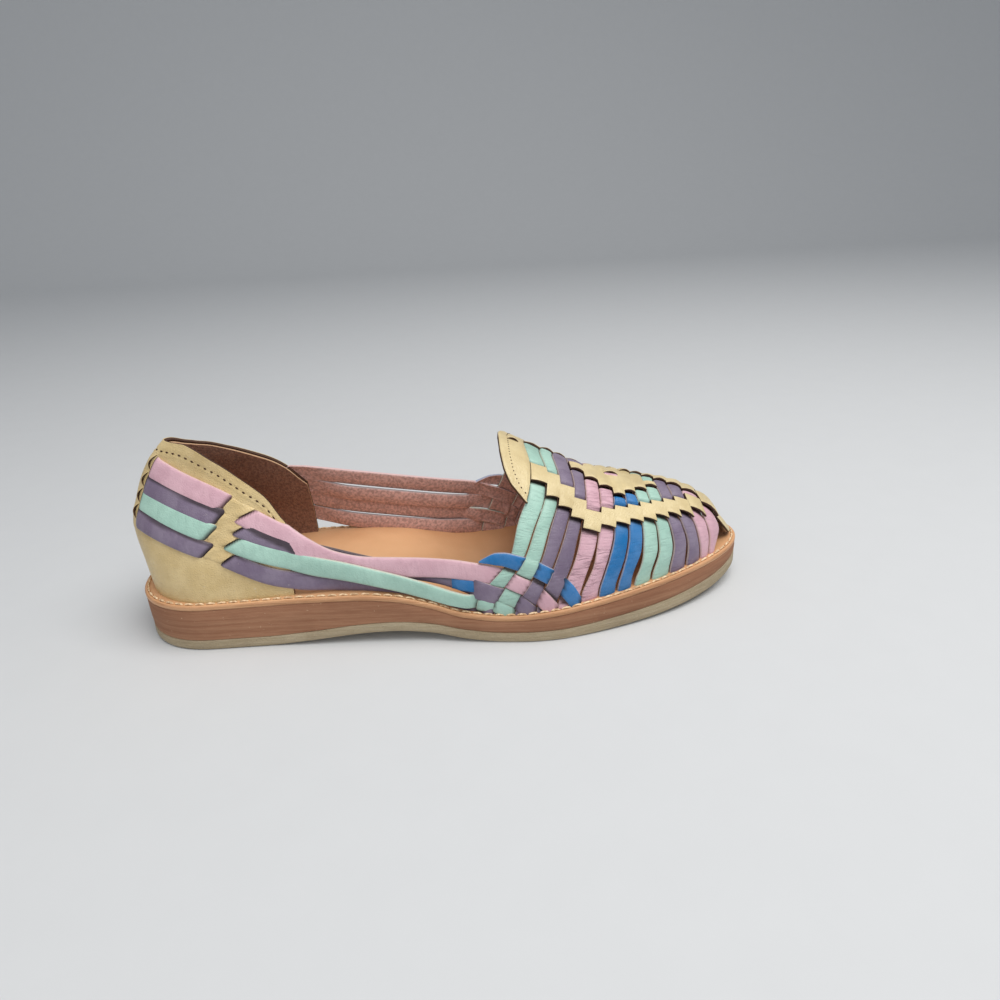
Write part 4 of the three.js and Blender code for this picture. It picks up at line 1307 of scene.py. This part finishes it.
class SandalStudio(bpy.types.PropertyGroup):
    """Camera and lights."""

    lens: bpy.props.FloatProperty(name="Lens", description="Focal length in millimetres on a 36 mm sensor",
                                  default=25.76, min=1)
    roll: bpy.props.FloatProperty(name="Roll", description="Turn of the camera about its own axis",
                                  default=np.radians(-3.007), subtype="ANGLE")
    key: bpy.props.FloatProperty(name="Key light", description="Power of the overhead light",
                                 default=9.8, unit="POWER")
    fill: bpy.props.FloatProperty(name="Fill light", description="Power of the front light",
                                  default=1.7, unit="POWER")
    sky: bpy.props.FloatProperty(name="Sky", description="Strength of the even light", default=0.42, min=0)


# ---- operators ------------------------------------------------------------------------------


class SANDAL_OT_sole(bpy.types.Operator):
    """Outsole and midsole: two layers of the sole's outline, each with rounded edges"""

    bl_idname = "sandal.sole"
    bl_label = "Sole"

    def execute(self, context):
        look = context.scene.sandal_colours

        def low(s):
            return underside(s) + OUTSOLE + 1.4 * step(s, 150, 235)

        tread = layer([
            (3.0, raised(underside, 0.0)), (0.9, raised(underside, 0.0)), (0.3, raised(underside, 0.35)),
            (0.0, raised(underside, 1.0)), (0.0, raised(underside, 2.6)), (0.1, raised(low, 0.05)),
            (0.4, raised(low, 0.2)), (2.0, raised(low, 0.2)),
        ])
        rubber = sanded("Crumbly rubber", look.outsole, tint(196, 182, 156), tint(120, 104, 84),
                        0.85, 0.6, 0.0009, 0.9)
        piece("tread", tread, rubber, ("outsole",))
        body = layer([
            (2.0, raised(low, 0.25)), (0.5, raised(low, 0.25)), (0.2, raised(low, 0.45)),
            (0.05, lambda s: mix(low(s), midsole_top(s), 0.3)),
            (0.0, lambda s: mix(low(s), midsole_top(s), 0.6)),
            (0.1, raised(midsole_top, -0.3)), (0.35, raised(midsole_top, 0.1)),
            (2.0, raised(midsole_top, 0.1)),
        ])
        foam = sanded("Sanded midsole", look.midsole, tint(192, 148, 116), tint(228, 200, 170),
                      0.8, 0.4, 0.0005, 0.35)
        piece("midsole_body", body, foam, ("midsole",))
        return {"FINISHED"}


class SANDAL_OT_footbed(bpy.types.Operator):
    """Footbed with a rounded rim and a sewn groove, and its row of stitches"""

    bl_idname = "sandal.footbed"
    bl_label = "Footbed"

    def execute(self, context):
        look = context.scene.sandal_colours
        top = footbed_top
        shape = layer([
            (2.0, raised(midsole_top, 0.15)), (0.3, raised(midsole_top, 0.15)),
            (0.0, raised(midsole_top, 0.5)),
            (-0.05, raised(top, -1.0)), (0.0, raised(top, -0.5)), (0.3, raised(top, -0.12)),
            (0.6, raised(top, 0.02)), (0.9, raised(top, 0.0)), (1.15, raised(top, -0.2)),
            (1.5, raised(top, -0.35)), (1.85, raised(top, -0.2)), (2.2, raised(top, 0.1)),
            (3.4, raised(top, 0.15)), (5.0, raised(top, 0.05)),
        ], 24, 0.5)
        piece("footbed", shape, footbed_leather(), ("insole",))
        pitch = mm("stitch_pitch")
        paths = stitch_row(1.5, pitch, pitch * 0.84, raised(top, -0.12), 0.42)
        piece("footbed_stitches", rod(paths, 0.42), thread("Waxed thread", look.stitches))
        return {"FINISHED"}


class SANDAL_OT_counter(bpy.types.Operator):
    """Heel counter with its folded collar, lining, stitches, back spine and two rails"""

    bl_idname = "sandal.counter"
    bl_label = "Heel counter"

    def execute(self, context):
        look = context.scene.sandal_colours
        gold = gold_leather("heel_gold")
        piece("counter_leather", counter_shape(), gold, ("heel_counter",))
        lining = leather("Lining leather", look.lining, look.lining_rim, look.lining, 0.7, 0.2, 3.0, 0.5, 0.1)
        piece("counter_lining", lining_shape(), lining)
        piece("collar_stitches", rod(collar_stitches(), 0.42), thread("Dark thread", look.slit))
        piece("back_spine", spine_shape(), gold)
        piece("heel_rail_outer", rail_shape(-1), gold)
        piece("heel_rail_inner", rail_shape(1), gold)
        return {"FINISHED"}


class SANDAL_OT_straps(bpy.types.Operator):
    """Four straps that run from the outer foot line through the braid, round the heel and back"""

    bl_idname = "sandal.straps"
    bl_label = "Side straps"

    def execute(self, context):
        places = (-2.3, -2.1, -2.03, -1.92, -1.8, -1.15, -0.9, 0.9, 1.15, 1.9, 2.12)
        even = (0.86, 0.9, 0.95, 0.98, 1, 1, 0.94, 0.94, 1, 1, 0.86)
        full = (0.86, 0.9, 0.95, 0.98, 1, 1.28, 1.02, 0.94, 1, 1, 0.86)
        wide = (0.86, 0.92, 1.08, 1.1, 0.9, 0.96, 0.94, 0.94, 1, 1, 0.86)
        pointed = (0.8, 0.75, 0.74, 0.76, 0.86, 1, 0.94, 0.94, 1, 1, 0.86)
        table = (
            ("strap_pink", "pink", PINK_PATH, (-2.39, 2.42), 0, 2, (1.5, 2.0), (2.0, 2.1), full, None),
            ("strap_upper_purple", "purple", UPPER_PURPLE_PATH, (-2.27, 2.32), 1, 3, (0, 0.4),
             (1.925, 1.96), wide, PINK_PATH),
            ("strap_mint", "mint", MINT_PATH, (-2.17, 2.25), 2, 4, (3.0, 2.0), (1.9, 1.97), pointed,
             None),
            ("strap_lower_purple", "purple", LOWER_PURPLE_PATH, (-2.1, 2.14), 3, 5, (0.6, 0.6),
             (1.95, 2.03), even, MINT_PATH),
        )
        for name, hue, path, ends, number, strand, floats, joins, share, above in table:
            width = (places, mm("strap_width") * np.array(share))
            shape = strap_shape(path, *ends, number, strand, floats, width, joins=joins, above=above)
            piece(name, shape, strap_leather(hue, 0.18, 3.5), ("upper",))
        return {"FINISHED"}


class SANDAL_OT_blue_strand(bpy.types.Operator):
    """Blue strand at the top of the braid: a leaf folded over the topline, then a ribbon"""

    bl_idname = "sandal.blue_strand"
    bl_label = "Blue strand"

    def execute(self, context):
        blue = strap_leather("blue", 0.2, 3.5)
        width = ([-2.52, -2.19, -2.12, -2.06, -2.0, -1.98], [6.2, 6.0, 5.4, 4.6, 1.6, 0.4])
        outer = strap_shape(BLUE_OUTER_PATH, -2.5, -1.98, 0, 1, (2.0, 2.0), width)
        piece("blue_strand_outer", outer, blue)
        width = ([1.99, 2.02, 2.08, 2.15, 2.55], [0.4, 1.8, 4.8, 6.0, 6.2])
        inner = strap_shape(BLUE_INNER_PATH, 1.99, 2.53, 0, 1, (2.0, 2.0), width)
        piece("blue_strand_inner", inner, blue)
        width = ([-1.985, -1.83], [5.6, 4.4])
        tail = strap_shape(BLUE_TAIL_PATH, -1.985, -1.83, 0, 0, (1.4, 1.4), width, 1.0)
        piece("blue_strand_tail", tail, blue)
        return {"FINISHED"}


class SANDAL_OT_strips(bpy.types.Operator):
    """Fourteen strips over the front, in pairs of one colour, woven through the centre piece"""

    bl_idname = "sandal.strips"
    bl_label = "Front strips"

    def execute(self, context):
        hues = ("mint", "purple", "pink", "blue", "mint", "purple", "pink")
        for k in range(1, STRIPS + 1):
            hue = hues[(k - 1) // 2]
            wrinkled = 0.9 if k in (5, 6) else 0.4 if k in (1, 2) else 0.28
            material = strap_leather(hue, wrinkled, 7.0)
            piece(f"strip_{k:02d}_{hue}", strip_shape(k), material, ("upper",))
        return {"FINISHED"}


class SANDAL_OT_centre(bpy.types.Operator):
    """Centre piece: tongue, two rails and the middle band, which end together at the toe"""

    bl_idname = "sandal.centre"
    bl_label = "Centre piece"

    def execute(self, context):
        look = context.scene.sandal_colours
        gold = gold_leather("gold")
        parts = [
            band_shape("outer_a", "outer_b", 1, STRIPS - 1, (0.8, 0.0)),
            band_shape("inner_b", "inner_a", 1, STRIPS - 1, (0.8, 0.6)),
            band_shape("band_a", "band_b", 4, 10, (0.8, 0.5)),
            band_shape("outer_a", "inner_a", STRIPS, STRIPS, (0.7, 0.5)),
            tongue_shape(), toe_shape(),
        ]
        face = mm("gold_level") + mm("gold_thickness")
        parts += [crest_cut(s, e, y, 5.5, 1.25, face - 0.6) for s, e, y, _ in CREST_CUTS]
        for s, e, y, hue in CREST_CUTS:
            if hue:
                sliver = crest_cut(s + 0.4, e - 0.4, y - 1.5, 1.9, 0.0, face - 0.5)
                piece(f"crest_{hue}", sliver, strap_leather(hue, 0.2, 3.5))
        piece("centre_leather", joined(parts), gold, ("centre_piece",))
        piece("tongue_stitches", rod(tongue_stitches(), 0.3), thread("Dark thread", look.slit))
        return {"FINISHED"}


def area(name, power, size, position, target, hue=(1, 1, 1)):
    light = bpy.data.lights.new(name, "AREA")
    light.energy, light.size, light.color = power, size, hue
    obj = bpy.data.objects.new(name, light)
    obj.location = position
    obj.rotation_euler = (Vector(target) - Vector(position)).to_track_quat("-Z", "Y").to_euler()
    bpy.context.scene.collection.objects.link(obj)


class SANDAL_OT_stage(bpy.types.Operator):
    """Pale floor that curves up into a wall, soft lights and the camera"""

    bl_idname = "sandal.stage"
    bl_label = "Stage"

    def execute(self, context):
        scene = context.scene
        studio, look = scene.sandal_studio, scene.sandal_colours
        u = np.linspace(0, 1, 25)
        run = np.concatenate([[-9.0, 1.2], 1.2 + 0.8 * np.sin(u * np.pi / 2)[1:], [2.0]])
        rise = np.concatenate([[0.0, 0.0], 0.8 * (1 - np.cos(u * np.pi / 2))[1:], [3.5]])
        x = np.array([-9.0, 9.0])
        points = np.stack(np.broadcast_arrays(x[None], run[:, None], rise[:, None]), -1).reshape(-1, 3)
        mesh = bpy.data.meshes.new("studio_floor")
        mesh.from_pydata(points, [], quads(len(run), 2)[:, ::-1])
        mesh.polygons.foreach_set("use_smooth", np.ones(len(mesh.polygons), bool))
        floor = bpy.data.objects.new("studio_floor", mesh)
        scene.collection.objects.link(floor)
        material, tree, shader, coordinates = start_material("Studio paper", 0.9, 0.1)
        mottled = tree.noise(coordinates.outputs["Object"], 60.0, 3.0)
        darker = tree.blend(1.0, look.backdrop, (0.97, 0.97, 0.97), "MULTIPLY")
        pale = tree.blend(mottled, look.backdrop, darker)
        tree.tree.links.new(pale, shader.inputs["Base Color"])
        mesh.materials.append(material)

        world = bpy.data.worlds.new("Even sky")
        world.use_nodes = True
        background = world.node_tree.nodes["Background"]
        background.inputs[0].default_value = (0.93, 0.96, 1.0, 1)
        background.inputs[1].default_value = studio.sky
        scene.world = world
        area("Key light", studio.key, 0.8, (0.3, -0.2, 0.98), (0, 0, 0.03), (1, 0.98, 0.95))
        area("Fill light", studio.fill, 0.9, (-0.35, -0.95, 0.6), (0, 0, 0.03), (1, 0.97, 0.94))

        position = (np.array([138.0, -271.6, 166.9]) + SHIFT) * MM
        target = (np.array([149.1, 0.0, 42.9]) + SHIFT) * MM
        camera = bpy.data.cameras.new("Camera")
        camera.sensor_width = 36
        camera.lens = studio.lens
        camera.clip_start = 0.01
        obj = bpy.data.objects.new("Camera", camera)
        back = Vector(position - target).normalized()
        right = Vector((0, 0, 1)).cross(back).normalized()
        up = back.cross(right)
        turned = Matrix.Rotation(studio.roll, 3, back)
        right, up = turned @ right, turned @ up
        obj.matrix_world = Matrix.Translation(position) @ Matrix((right, up, back)).transposed().to_4x4()
        scene.collection.objects.link(obj)
        scene.camera = obj
        scene.view_settings.view_transform = "Standard"
        return {"FINISHED"}


class SANDAL_PT_panel(bpy.types.Panel):
    """Sizes, colours and the steps of the build"""

    bl_idname = "SANDAL_PT_panel"
    bl_label = "Huarache Sandal"
    bl_space_type = "VIEW_3D"
    bl_region_type = "UI"
    bl_category = "Sandal"

    def draw(self, context):
        for step_class in STEPS:
            self.layout.operator(step_class.bl_idname)
        for group_name, group_class in SETTINGS.items():
            column = self.layout.column(heading=group_class.__doc__)
            for name in group_class.__annotations__:
                column.prop(getattr(context.scene, group_name), name)


SETTINGS = {"sandal_sizes": SandalSizes, "sandal_colours": SandalColours, "sandal_studio": SandalStudio}
STEPS = (
    SANDAL_OT_sole, SANDAL_OT_footbed, SANDAL_OT_counter, SANDAL_OT_straps, SANDAL_OT_blue_strand,
    SANDAL_OT_strips, SANDAL_OT_centre, SANDAL_OT_stage,
)


def register():
    for made in (*SETTINGS.values(), *STEPS, SANDAL_PT_panel):
        bpy.utils.register_class(made)
    for name, made in SETTINGS.items():
        setattr(bpy.types.Scene, name, bpy.props.PointerProperty(type=made))


def unregister():
    for name in SETTINGS:
        delattr(bpy.types.Scene, name)
    for made in (SANDAL_PT_panel, *reversed(STEPS), *SETTINGS.values()):
        bpy.utils.unregister_class(made)


def main():
    register()
    for made in STEPS:
        family, action = made.bl_idname.split(".")
        getattr(getattr(bpy.ops, family), action)()
    bpy.context.view_layer.update()


if __name__ == "__main__":
    main()
